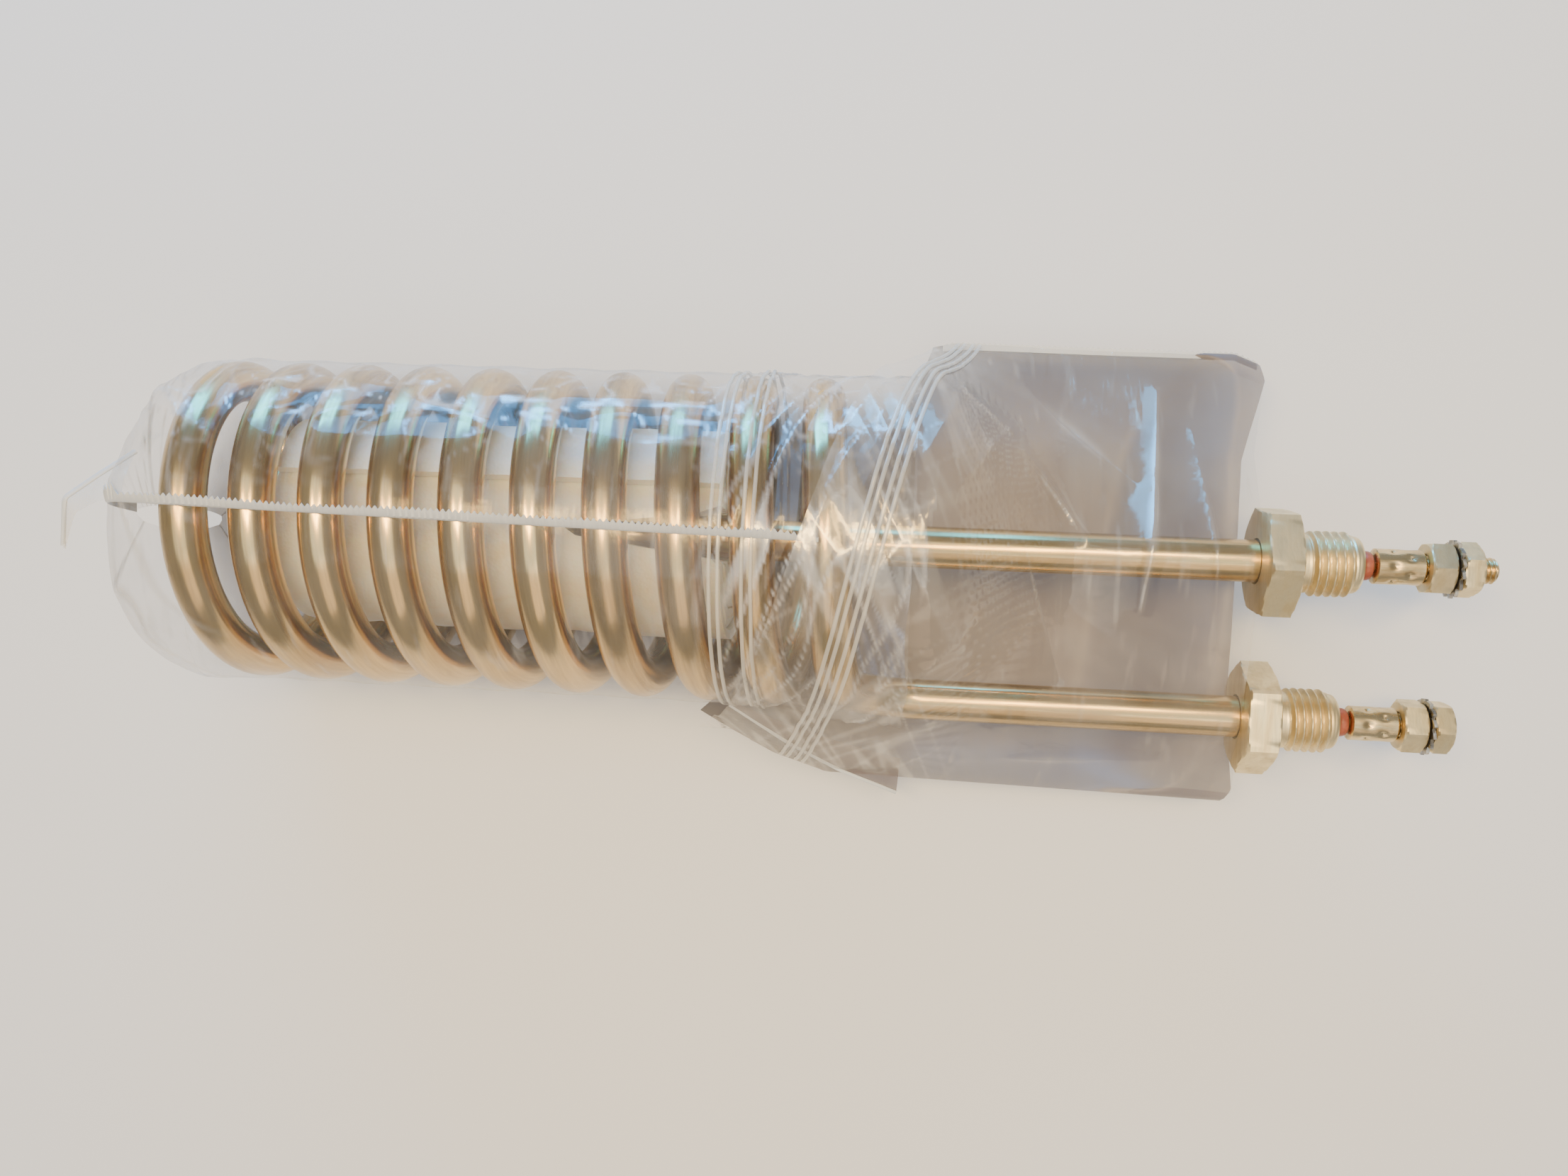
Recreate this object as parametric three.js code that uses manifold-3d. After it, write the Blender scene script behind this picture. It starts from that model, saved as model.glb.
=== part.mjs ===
// Coiled tubular heating element with two screwed terminals, packed in two clear zip bags
// with a foam roll inside the coil. Millimetres, +Z up, +X from the coil to the terminals.
import * as THREE from 'three';
import { mergeVertices } from 'three/addons/utils/BufferGeometryUtils.js';
import Module from 'manifold-3d';

const wasm = await Module();
wasm.setup();

const { PI, cos, sin } = Math;

// Heating tube
const tubeRadius = 4;
const sheathWall = 0.7;
const coilRadius = 27.5;          // centre line of the tube to the coil axis
const coilPitch = 12.9;
const coilTurns = 9.52;
const coilStartAngle = -20 * PI / 180;
const stepsPerTurn = 12;
const inletBendRadius = 12;       // from the central leg into the end plane
const scrollRadius = 11;          // from the end plane out to the coil
const outletBendRadius = 15;      // from the last turn into the outer leg
const axisHeight = 33.12;         // coil axis above the surface
const firstPlane = tubeRadius;    // centre line of the end plane
const scrollRise = 0.9;           // climb from the end plane to the coil
const coreGap = 0.4;              // between sheath, packed core and wire

// Screwed terminals, measured from the seat of the hexagon
const seatX = 203.8;
const hexAcrossFlats = 19;
const hexLength = 6.2;
const threadRadius = 6.15;
const threadDepth = 0.85;
const threadPitch = 1.5;
const threadStart = 8.3;
const threadTurns = 6;
const shankLength = 18.4;
const shankEnd = { length: 0.9, depth: 1.4 };    // rounded end of the shank
const bushingBore = 2.9;
const insulatorRadius = 2.55;
const tubeSeating = 1.3;          // from the hexagon's face back to the tube's end
const sealStart = 18.7;
const sealLength = 1.9;
const sealRadius = 2.75;
const sleeveStart = 21;
const sleeveLength = 8.8;
const sleeveRadius = 3.3;
const studEnds = { central: 42.8, outer: 39.6 };
const nutAcrossFlats = 9;
const innerNut = { start: 30.1, length: 4.4 };
const starWasher = { start: 34.8, length: 0.6, teeth: 14, outer: 5.4, root: 4.6 };
const outerNut = { start: 35.7, length: 3.6 };
const studRadius = 2.35;
const pinRadius = 1;
const pinInside = 42;             // how far each cold pin reaches back into the tube
const edgeChamfer = 0.5;
const fitGap = 0.35;

// Packing
const rollStart = 21;
const rollEnd = 105;
const rollRadius = 21.5;
const rollBore = 5;
const slitWidth = 9;
const slitLength = 34;
const filmThickness = 0.3;
const coilBagRadius = 32.1;       // inside of the film round the coil
const coilBagEnd = -14;           // folded bottom of the coil bag
const coilBagFoldHeight = 0.62;   // of the bag's height that is left at the fold
const coilBagMouth = 140.5;
const coilZipX = 108;
const coilZip = { width: 1.8, lift: 0.62, thickness: 0.4 };
const legBagEdgeHeight = 14;
const legBagEdges = [43, -49];    // the two welded edges across the bag
const legBagMouth = [141, 98];    // mouth at those two edges
const legBagEnd = 202.8;          // pierced bottom
const legZip = { place: 0.12, width: 0.022, lift: 0.65, thickness: 0.7 };   // along the bag, from 0 to 1
const legClearance = 1.4;         // film to the legs
const coilClearance = 2.6;        // film to the coil bag
const outerBendRadius = 8;        // of the film where it rounds the last turn
const legBulge = 4.2;             // of the coil bag over the last turn

const finishes = {
  stainless: { color: 0xa3967f, roughness: 0.24, metalness: 1 },
  nickel: { color: 0xc9bd9d, roughness: 0.34, metalness: 1 },
  zinc: { color: 0x8d8a80, roughness: 0.4, metalness: 1 },
  magnesia: { color: 0xe9e6dc, roughness: 0.95, metalness: 0 },
  ceramic: { color: 0xf0eee6, roughness: 0.5, metalness: 0 },
  wire: { color: 0x8b8780, roughness: 0.45, metalness: 1 },
  silicone: { color: 0xb5452c, roughness: 0.55, metalness: 0 },
  foam: { color: 0xece3cd, roughness: 0.85, metalness: 0 },
  film: { color: 0xd8d4c8, roughness: 0.15, metalness: 0 },
};

const assembly = new THREE.Group();

function addPart(name, geometry, finish) {
  const mesh = new THREE.Mesh(facingOut(geometry), new THREE.MeshStandardMaterial(finishes[finish]));
  mesh.name = name;
  assembly.add(mesh);
  return mesh;
}

function volumeOf(position, index) {
  const [a, b, c] = [new THREE.Vector3(), new THREE.Vector3(), new THREE.Vector3()];
  let volume = 0;
  for (let i = 0; i < index.count; i += 3) {
    a.fromBufferAttribute(position, index.getX(i));
    b.fromBufferAttribute(position, index.getX(i + 1));
    c.fromBufferAttribute(position, index.getX(i + 2));
    volume += a.dot(b.cross(c)) / 6;
  }
  return volume;
}

// Welds shared vertices and turns the faces outwards.
function facingOut(geometry) {
  const plain = geometry.clone();
  plain.deleteAttribute('normal');
  plain.deleteAttribute('uv');
  const welded = mergeVertices(plain, 1e-4);
  if (volumeOf(welded.attributes.position, welded.index) < 0) {
    welded.setIndex(Array.from(welded.index.array).reverse());
  }
  welded.computeVertexNormals();
  return welded;
}

function toSolid(geometry) {
  const closed = facingOut(geometry);
  const vertProperties = new Float32Array(closed.attributes.position.array);
  const triVerts = new Uint32Array(closed.index.array);
  return new wasm.Manifold(new wasm.Mesh({ numProp: 3, vertProperties, triVerts }));
}

function fromSolid(solid) {
  const mesh = solid.getMesh();
  const geometry = new THREE.BufferGeometry();
  geometry.setAttribute('position', new THREE.Float32BufferAttribute(mesh.vertProperties, 3));
  geometry.setIndex(Array.from(mesh.triVerts));
  return geometry;
}

function polygon(sides, radius, turn = 0, Type = THREE.Shape) {
  const corners = [];
  for (let i = 0; i < sides; i++) {
    const angle = turn + 2 * PI * i / sides;
    corners.push(new THREE.Vector2(radius * cos(angle), radius * sin(angle)));
  }
  return new Type(corners);
}

// Profile of [radius, x] pairs turned about the X axis.
function turned(profile, segments = 16) {
  const points = profile.map(([radius, x]) => new THREE.Vector2(radius, x));
  return new THREE.LatheGeometry(points, segments).rotateZ(-PI / 2);
}

function ring(inner, outer, start, length, segments = 16) {
  const end = start + length;
  return turned([[inner, start], [outer, start], [outer, end], [inner, end], [inner, start]], segments);
}

function rod(radius, start, length, segments = 16) {
  return turned([[0, start], [radius, start], [radius, start + length], [0, start + length]], segments);
}

// Flat outline extruded along +X from the given start.
function plate(shape, start, length) {
  return new THREE.ExtrudeGeometry(shape, { depth: length, bevelEnabled: false, curveSegments: 6 })
    .rotateY(PI / 2).translate(start, 0, 0);
}

// ---- Route of the tube: central leg, scroll, coil, outer leg

const scrollReach = Math.sqrt((coilRadius - scrollRadius) ** 2 - scrollRadius ** 2);
const scrollAngle = Math.acos(scrollReach / (coilRadius - scrollRadius));
const spokeAngle = coilStartAngle - scrollAngle;
const coilEndAngle = coilStartAngle + 2 * PI * coilTurns;
const coilEndX = firstPlane + scrollRise + coilPitch * coilTurns;
const outerLeg = {
  y: coilRadius * cos(coilEndAngle) - outletBendRadius * sin(coilEndAngle),
  z: coilRadius * sin(coilEndAngle) + outletBendRadius * cos(coilEndAngle),
};

class TubeRoute extends THREE.Curve {
  constructor(centralEnd, outerEnd) {
    super();
    const line = (a, b) => (s) => new THREE.Vector3().lerpVectors(a, b, s);
    const bendStart = new THREE.Vector3(firstPlane + inletBendRadius, 0, 0);
    const outerStart = new THREE.Vector3(coilEndX + outletBendRadius, outerLeg.y, outerLeg.z);
    this.pieces = [
      { steps: 3, at: line(new THREE.Vector3(centralEnd, 0, 0), bendStart) },
      { steps: 4, at: (s) => {
        const turn = s * PI / 2;
        const reach = inletBendRadius * (1 - cos(turn));
        return new THREE.Vector3(bendStart.x - inletBendRadius * sin(turn),
          reach * cos(spokeAngle), reach * sin(spokeAngle));
      } },
      { steps: 5, at: (s) => {
        const turn = spokeAngle - PI / 2 + s * (PI / 2 + scrollAngle);
        const centre = coilRadius - scrollRadius;
        return new THREE.Vector3(firstPlane + scrollRise * s * s,
          centre * cos(coilStartAngle) + scrollRadius * cos(turn),
          centre * sin(coilStartAngle) + scrollRadius * sin(turn));
      } },
      { steps: Math.round(coilTurns * stepsPerTurn), at: (s) => {
        const turn = coilStartAngle + s * (coilEndAngle - coilStartAngle);
        return new THREE.Vector3(firstPlane + scrollRise + coilPitch * coilTurns * s,
          coilRadius * cos(turn), coilRadius * sin(turn));
      } },
      { steps: 5, at: (s) => {
        const turn = s * PI / 2;
        const along = outletBendRadius * sin(turn);
        return new THREE.Vector3(coilEndX + outletBendRadius * (1 - cos(turn)),
          coilRadius * cos(coilEndAngle) - along * sin(coilEndAngle),
          coilRadius * sin(coilEndAngle) + along * cos(coilEndAngle));
      } },
      { steps: 3, at: line(outerStart, new THREE.Vector3(outerEnd, outerLeg.y, outerLeg.z)) },
    ];
    this.steps = this.pieces.reduce((sum, piece) => sum + piece.steps, 0);
  }

  getUtoTmapping(u) {
    return u;
  }

  getPoint(t) {
    let place = THREE.MathUtils.clamp(t, 0, 1) * this.steps;
    for (const piece of this.pieces) {
      if (place <= piece.steps) return piece.at(place / piece.steps);
      place -= piece.steps;
    }
    return this.pieces.at(-1).at(1);
  }
}

function tubeAlong(shape, ends) {
  const route = new TubeRoute(...ends);
  return new THREE.ExtrudeGeometry(shape, { steps: route.steps, extrudePath: route });
}

// ---- Heating tube and what it holds

const tubeEnd = seatX + hexLength - tubeSeating;
const sheathSection = polygon(10, tubeRadius);
sheathSection.holes.push(polygon(6, tubeRadius - sheathWall, 0, THREE.Path));
addPart('sheath_tube', tubeAlong(sheathSection, [tubeEnd, tubeEnd]), 'stainless');

const coreSection = polygon(6, tubeRadius - sheathWall - coreGap);
coreSection.holes.push(polygon(4, pinRadius + 2 * coreGap, 0, THREE.Path));
const coreEnd = tubeEnd - coreGap;
addPart('magnesia_core', tubeAlong(coreSection, [coreEnd, coreEnd]), 'magnesia');

const wireEnd = seatX - pinInside - coreGap;
addPart('resistance_wire', tubeAlong(polygon(4, pinRadius), [wireEnd, wireEnd]), 'wire');

// ---- Terminals

function bushing(turn) {
  const crest = threadRadius;
  const root = threadRadius - threadDepth;
  const profile = [[0, hexLength - 1], [root, hexLength - 1], [root, threadStart]];
  for (let i = 0; i < threadTurns; i++) {
    const start = threadStart + i * threadPitch;
    profile.push([crest, start + threadPitch / 2], [root, start + threadPitch]);
  }
  profile.push([root, shankLength - shankEnd.length], [root - shankEnd.depth, shankLength], [0, shankLength]);
  const hexagon = plate(polygon(6, hexAcrossFlats / Math.sqrt(3), turn), 0, hexLength);
  return fromSolid(toSolid(hexagon)
    .add(toSolid(turned(profile, 16)))
    .subtract(toSolid(rod(tubeRadius + fitGap, -1, hexLength, 16)))
    .subtract(toSolid(rod(bushingBore, 0, shankLength + 1, 12))));
}

function studWithSleeve(studEnd) {
  const sleeveEnd = sleeveStart + sleeveLength;
  const body = turned([
    [0, sleeveStart], [sleeveRadius, sleeveStart], [sleeveRadius, sleeveEnd - edgeChamfer],
    [sleeveRadius - edgeChamfer, sleeveEnd], [studRadius, sleeveEnd],
    [studRadius, studEnd - edgeChamfer], [studRadius - edgeChamfer, studEnd], [0, studEnd],
  ]);
  const bore = rod(pinRadius + fitGap, sleeveStart - 1, sleeveLength, 12);
  return fromSolid(toSolid(body).subtract(toSolid(bore)));
}

function nut({ start, length }, turn) {
  const outline = polygon(6, nutAcrossFlats / Math.sqrt(3), turn);
  outline.holes.push(polygon(16, studRadius + fitGap, 0, THREE.Path));
  return plate(outline, start, length);
}

function toothedWasher({ start, length, teeth, outer, root }) {
  const corners = [];
  for (let i = 0; i < 2 * teeth; i++) {
    const radius = i % 2 ? root : outer;
    corners.push(new THREE.Vector2(radius * cos(PI * i / teeth), radius * sin(PI * i / teeth)));
  }
  const outline = new THREE.Shape(corners);
  outline.holes.push(polygon(16, studRadius + fitGap, 0, THREE.Path));
  return plate(outline, start, length);
}

// Turns of the bushing, inner nut and outer nut about the leg, in degrees.
const terminals = {
  central: { y: 0, z: 0, turns: [9, 0, 40] },
  outer: { y: outerLeg.y, z: outerLeg.z, turns: [30, 12, 8] },
};

const pinEnd = sleeveStart + sleeveLength - 1.5;
const insulator = { start: hexLength - tubeSeating + coreGap, end: sealStart - fitGap };

for (const [side, { y, z, turns }] of Object.entries(terminals)) {
  const [bushingTurn, innerTurn, outerTurn] = turns.map((degrees) => degrees * PI / 180);
  const bore = pinRadius + fitGap;
  const pieces = {
    bushing: [bushing(bushingTurn), 'nickel'],
    insulator: [ring(bore, insulatorRadius, insulator.start, insulator.end - insulator.start, 12), 'ceramic'],
    seal: [ring(bore, sealRadius, sealStart, sealLength), 'silicone'],
    cold_pin: [rod(pinRadius, -pinInside, pinInside + pinEnd, 8), 'nickel'],
    stud: [studWithSleeve(studEnds[side]), 'nickel'],
    inner_nut: [nut(innerNut, innerTurn), 'nickel'],
    star_washer: [toothedWasher(starWasher), 'zinc'],
    outer_nut: [nut(outerNut, outerTurn), 'nickel'],
  };
  for (const [piece, [geometry, finish]] of Object.entries(pieces)) {
    addPart(`${side}_${piece}`, geometry, finish).position.set(seatX, y, z);
  }
}

// ---- Foam roll in the coil, slit open towards the terminals

const rollBody = toSolid(ring(rollBore, rollRadius, rollStart, rollEnd - rollStart, 20));
const slit = new THREE.Shape([
  new THREE.Vector2(rollEnd - slitLength, 0),
  new THREE.Vector2(rollEnd + 1, -slitWidth / 2),
  new THREE.Vector2(rollEnd + 1, slitWidth / 2),
]);
const slitWedge = new THREE.ExtrudeGeometry(slit, { depth: 2 * rollRadius, bevelEnabled: false });
addPart('foam_roll', fromSolid(rollBody.subtract(toSolid(slitWedge))), 'foam');

// ---- Clear film

// Thin closed body on a grid of points, grown by the film's thickness to its outer side.
function filmSheet(rows, thickness = filmThickness) {
  const [nu, nv] = [rows.length, rows[0].length];
  const near = (i, n) => [Math.max(i - 1, 0), Math.min(i + 1, n - 1)];
  const corners = [];
  for (const side of [0, 1]) {
    for (let i = 0; i < nu; i++) {
      for (let j = 0; j < nv; j++) {
        const [i0, i1] = near(i, nu);
        const [j0, j1] = near(j, nv);
        const along = rows[i1][j].clone().sub(rows[i0][j]);
        const across = rows[i][j1].clone().sub(rows[i][j0]);
        const normal = along.cross(across).normalize();
        corners.push(rows[i][j].clone().addScaledVector(normal, side * thickness));
      }
    }
  }
  const at = (side, i, j) => side * nu * nv + i * nv + j;
  const faces = [];
  const quad = (a, b, c, d) => faces.push(a, b, c, a, c, d);
  for (let i = 0; i < nu - 1; i++) {
    for (let j = 0; j < nv - 1; j++) {
      quad(at(1, i, j), at(1, i + 1, j), at(1, i + 1, j + 1), at(1, i, j + 1));
      quad(at(0, i, j), at(0, i, j + 1), at(0, i + 1, j + 1), at(0, i + 1, j));
    }
    quad(at(0, i, 0), at(0, i + 1, 0), at(1, i + 1, 0), at(1, i, 0));
    quad(at(0, i + 1, nv - 1), at(0, i, nv - 1), at(1, i, nv - 1), at(1, i + 1, nv - 1));
  }
  for (let j = 0; j < nv - 1; j++) {
    quad(at(0, 0, j + 1), at(0, 0, j), at(1, 0, j), at(1, 0, j + 1));
    quad(at(0, nu - 1, j), at(0, nu - 1, j + 1), at(1, nu - 1, j + 1), at(1, nu - 1, j));
  }
  const geometry = new THREE.BufferGeometry();
  geometry.setAttribute('position', new THREE.Float32BufferAttribute(corners.flatMap((p) => [...p]), 3));
  geometry.setIndex(faces);
  return geometry;
}

function grid(us, vs, surface) {
  return us.map((u) => vs.map((v) => surface(u, v)));
}

function evenly(from, to, steps) {
  return Array.from({ length: steps + 1 }, (_, i) => from + (to - from) * i / steps);
}

// Coil bag: round the coil, bulging over the outer leg, pinched to an upright fold at its bottom.
const legAngle = Math.atan2(outerLeg.z, outerLeg.y);

function coilBagPoint(side, lift = 0) {
  return (x, v) => {
    const angle = PI / 2 - side * PI * v;
    const offset = Math.atan2(sin(angle - legAngle), cos(angle - legAngle));
    const bulge = legBulge * THREE.MathUtils.smoothstep(x, 115, 127) * Math.exp(-((offset / 0.4) ** 2));
    const closing = THREE.MathUtils.clamp((3 - x) / (3 - coilBagEnd), 0, 0.998);
    const open = Math.sqrt(1 - closing ** 2);
    const radius = coilBagRadius + bulge + lift;
    return new THREE.Vector3(x, side * 0.25 + radius * cos(angle) * open,
      radius * sin(angle) * THREE.MathUtils.lerp(coilBagFoldHeight, 1, open));
  };
}

const coilBagStations = [coilBagEnd, -13, -11, -8, -4, 3, 60, 115, 121, 127, 132, coilBagMouth];
for (const [name, side] of [['coil_bag_back', 1], ['coil_bag_front', -1]]) {
  const around = side > 0 ? evenly(0, 1, 16) : evenly(1, 0, 16);
  addPart(`${name}_film`, filmSheet(grid(coilBagStations, around, coilBagPoint(side))), 'film');
  const zip = grid([coilZipX, coilZipX + coilZip.width], around, coilBagPoint(side, coilZip.lift));
  addPart(`${name}_zip`, filmSheet(zip, coilZip.thickness), 'film');
}

// Leg bag: draped from its welded edges over the coil end, the legs and the other bag.
function hullOverContents(x) {
  const shrink = THREE.MathUtils.smoothstep(x, coilBagMouth + 1, coilBagMouth + 30);
  const [overCoil, overLeg] = [coilBagRadius + coilClearance, tubeRadius + legClearance];
  const contents = [
    { y: 0, z: 0, radius: THREE.MathUtils.lerp(overCoil, overLeg, shrink) },
    { ...outerLeg, radius: THREE.MathUtils.lerp(outerBendRadius, overLeg, shrink) },
  ];
  const edgeZ = legBagEdgeHeight + 0.7 - axisHeight;
  const points = legBagEdges.map((y) => new THREE.Vector2(y, edgeZ));
  for (const { y, z, radius } of contents) {
    for (const angle of evenly(0, PI, 24)) {
      points.push(new THREE.Vector2(y + radius * cos(angle), z + radius * sin(angle)));
    }
  }
  points.sort((a, b) => b.x - a.x || b.y - a.y);
  const hull = [];
  for (const point of points) {
    while (hull.length > 1) {
      const [a, b] = hull.slice(-2);
      if ((b.x - a.x) * (point.y - a.y) - (b.y - a.y) * (point.x - a.x) > 0) break;
      hull.pop();
    }
    hull.push(point);
  }
  return hull;
}

function alongLine(points, fraction) {
  const lengths = points.slice(1).map((point, i) => point.distanceTo(points[i]));
  let rest = fraction * lengths.reduce((sum, length) => sum + length, 0);
  for (let i = 0; i < lengths.length; i++) {
    if (rest <= lengths[i]) return points[i].clone().lerp(points[i + 1], rest / lengths[i]);
    rest -= lengths[i];
  }
  return points.at(-1).clone();
}

function legBagX(u, v) {
  const mouth = THREE.MathUtils.lerp(legBagMouth[0], legBagMouth[1], v);
  return THREE.MathUtils.lerp(mouth, legBagEnd, u);
}

function legBagFront(u, v) {
  const x = legBagX(u, v);
  const place = alongLine(hullOverContents(x), v);
  return new THREE.Vector3(x, place.x, place.y);
}

function legBagBack(u, v) {
  const y = THREE.MathUtils.lerp(legBagEdges[0], legBagEdges[1], v);
  const rise = legBagEdgeHeight * Math.abs(2 * v - 1) ** 6;
  return new THREE.Vector3(legBagX(u, v), y, rise - axisHeight + filmThickness);
}

function raised(surface, lift) {
  return (u, v) => {
    const step = 0.01;
    const along = surface(u + step, v).sub(surface(u - step, v));
    const across = surface(u, Math.min(v + step, 1)).sub(surface(u, Math.max(v - step, 0)));
    return surface(u, v).addScaledVector(along.cross(across).normalize(), lift);
  };
}

const legBagAcross = evenly(0, 1, 22).reverse();
addPart('leg_bag_front_film', filmSheet(grid(evenly(0, 1, 12), legBagAcross, legBagFront)), 'film');
addPart('leg_bag_back_film', filmSheet(grid(evenly(0, 1, 8), evenly(0, 1, 20), legBagBack)), 'film');
const zipSpan = [legZip.place, legZip.place + legZip.width];
const zipAcross = evenly(0.02, 0.98, 22).reverse();
const zipPoints = grid(zipSpan, zipAcross, raised(legBagFront, -legZip.lift));
addPart('leg_bag_front_zip', filmSheet(zipPoints, legZip.thickness), 'film');

// ---- Stand the whole object on its lowest point, centred over the origin

assembly.updateMatrixWorld(true);
const bounds = new THREE.Box3().setFromObject(assembly);
const middle = bounds.getCenter(new THREE.Vector3());
assembly.position.set(-middle.x, -middle.y, -bounds.min.z);

export default assembly;
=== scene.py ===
import math

import bpy
import numpy as np
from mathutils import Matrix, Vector, noise


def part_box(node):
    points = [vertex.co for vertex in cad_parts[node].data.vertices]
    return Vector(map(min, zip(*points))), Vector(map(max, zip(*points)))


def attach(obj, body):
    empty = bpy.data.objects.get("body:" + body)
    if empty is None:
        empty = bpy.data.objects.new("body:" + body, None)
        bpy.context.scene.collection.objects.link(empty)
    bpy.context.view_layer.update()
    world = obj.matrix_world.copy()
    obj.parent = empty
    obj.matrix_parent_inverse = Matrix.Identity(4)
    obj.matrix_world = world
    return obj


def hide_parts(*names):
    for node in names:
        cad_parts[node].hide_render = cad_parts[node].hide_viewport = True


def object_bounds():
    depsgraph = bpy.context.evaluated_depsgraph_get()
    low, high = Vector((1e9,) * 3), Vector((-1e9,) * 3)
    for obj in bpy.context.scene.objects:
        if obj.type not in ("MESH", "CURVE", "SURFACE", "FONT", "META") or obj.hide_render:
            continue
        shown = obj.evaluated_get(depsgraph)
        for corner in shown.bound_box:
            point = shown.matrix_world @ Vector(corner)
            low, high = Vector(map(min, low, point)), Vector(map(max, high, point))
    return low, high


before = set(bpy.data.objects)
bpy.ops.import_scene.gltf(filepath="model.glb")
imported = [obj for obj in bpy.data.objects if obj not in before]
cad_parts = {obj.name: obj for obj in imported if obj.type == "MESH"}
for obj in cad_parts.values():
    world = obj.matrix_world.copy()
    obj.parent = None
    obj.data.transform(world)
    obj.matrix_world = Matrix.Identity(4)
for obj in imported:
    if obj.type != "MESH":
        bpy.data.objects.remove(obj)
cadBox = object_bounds()
print("frame loaded")

tau = 2 * math.pi
mm = 0.001

# Places that everything else is measured from: the coil's axis, the seat of the terminals, the outer leg
coilAxis = sum(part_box("central_stud"), Vector()) / 2
outerAxis = sum(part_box("outer_stud"), Vector()) / 2
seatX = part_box("central_bushing")[0].x
startX = seatX - 203.8 * mm    # end of the coil, where the tube's first turn touches
outerOffset = np.array([outerAxis.y - coilAxis.y, outerAxis.z - coilAxis.z])


def lerp(a, b, t):
    return a + (b - a) * t


def smoothstep(x, low, high):
    t = np.clip((x - low) / (high - low), 0, 1)
    return t * t * (3 - 2 * t)


def inFrame(points):    # from coil coordinates (x from the coil's end, y and z from its axis) to the frame
    return np.asarray(points, float) + np.array([startX, coilAxis.y, coilAxis.z])


def ridged(x, y, z=0.0):    # 0 in smooth places, 1 along sharp creases
    return 1 - min(1.0, abs(noise.noise(Vector((x, y, z)))) * 3.2)


def soft(x, y, z=0.0):
    return noise.noise(Vector((x, y, z)))


# ---- shader helpers

def addNode(tree, kind, values=None, **settings):
    node = tree.nodes.new(kind)
    for name, value in settings.items():
        setattr(node, name, value)
    for name, value in (values or {}).items():
        if isinstance(value, bpy.types.NodeSocket):
            tree.links.new(value, node.inputs[name])
        else:
            node.inputs[name].default_value = value
    return node


def newGroup(name, inputs, outputs):
    tree = bpy.data.node_groups.new(name, "ShaderNodeTree")
    for label, (kind, value) in inputs.items():
        socket = tree.interface.new_socket(label, in_out="INPUT", socket_type=kind)
        socket.default_value = value
    for label, kind in outputs.items():
        tree.interface.new_socket(label, in_out="OUTPUT", socket_type=kind)
    start, end = tree.nodes.new("NodeGroupInput"), tree.nodes.new("NodeGroupOutput")
    return tree, start.outputs, end.inputs


def fillGroup(tree, group, values):
    node = addNode(tree, "ShaderNodeGroup", node_tree=group)
    for name, value in values.items():
        if isinstance(value, bpy.types.NodeSocket):
            tree.links.new(value, node.inputs[name])
        else:
            node.inputs[name].default_value = value
    return node


def mathNode(tree, operation, a, b=0.0, c=0.0, clamp=False):
    return addNode(tree, "ShaderNodeMath", {0: a, 1: b, 2: c}, operation=operation, use_clamp=clamp).outputs[0]


def mixColor(tree, factor, a, b):
    node = addNode(tree, "ShaderNodeMix", {0: factor, 6: a, 7: b}, data_type="RGBA")
    return node.outputs[2]


def spread(tree, value, low, high, toLow=0.0, toHigh=1.0):
    values = {"Value": value, "From Min": low, "From Max": high, "To Min": toLow, "To Max": toHigh}
    return addNode(tree, "ShaderNodeMapRange", values, clamp=True).outputs[0]


def objectPlace(tree):
    return addNode(tree, "ShaderNodeTexCoord").outputs["Object"]


# Fine drawn or brushed lines: a noise stretched by Scale, with stains over it
def grainGroup():
    tree, given, out = newGroup("metalGrain", {
        "Vector": ("NodeSocketVector", (0, 0, 0)), "Line Scale": ("NodeSocketFloat", 900.0),
        "Stain Scale": ("NodeSocketFloat", 60.0), "Contrast": ("NodeSocketFloat", 0.5),
    }, {"Lines": "NodeSocketFloat", "Stains": "NodeSocketFloat"})
    lines = addNode(tree, "ShaderNodeTexNoise", {"Vector": given["Vector"], "Scale": given["Line Scale"],
                                                 "Detail": 3.0, "Roughness": 0.6})
    stains = addNode(tree, "ShaderNodeTexNoise", {"Vector": given["Vector"], "Scale": given["Stain Scale"],
                                                  "Detail": 4.0, "Roughness": 0.55, "Distortion": 0.6})
    half = mathNode(tree, "MULTIPLY", given["Contrast"], 0.5)
    tree.links.new(spread(tree, lines.outputs["Fac"], mathNode(tree, "SUBTRACT", 0.5, half),
                          mathNode(tree, "ADD", 0.5, half)), out["Lines"])
    tree.links.new(spread(tree, stains.outputs["Fac"], 0.35, 0.7), out["Stains"])
    return tree


# Worn edges: bright where the surface is convex
def wearGroup():
    tree, given, out = newGroup("edgeWear", {
        "Amount": ("NodeSocketFloat", 0.5), "Break Up": ("NodeSocketFloat", 900.0),
    }, {"Wear": "NodeSocketFloat"})
    sharpness = addNode(tree, "ShaderNodeNewGeometry").outputs["Pointiness"]
    broken = addNode(tree, "ShaderNodeTexNoise", {"Vector": objectPlace(tree), "Scale": given["Break Up"],
                                                  "Detail": 3.0})
    edge = spread(tree, sharpness, 0.52, 0.6)
    shared = mathNode(tree, "MULTIPLY", edge, spread(tree, broken.outputs["Fac"], 0.35, 0.6))
    tree.links.new(mathNode(tree, "MULTIPLY", shared, given["Amount"], clamp=True), out["Wear"])
    return tree


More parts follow.
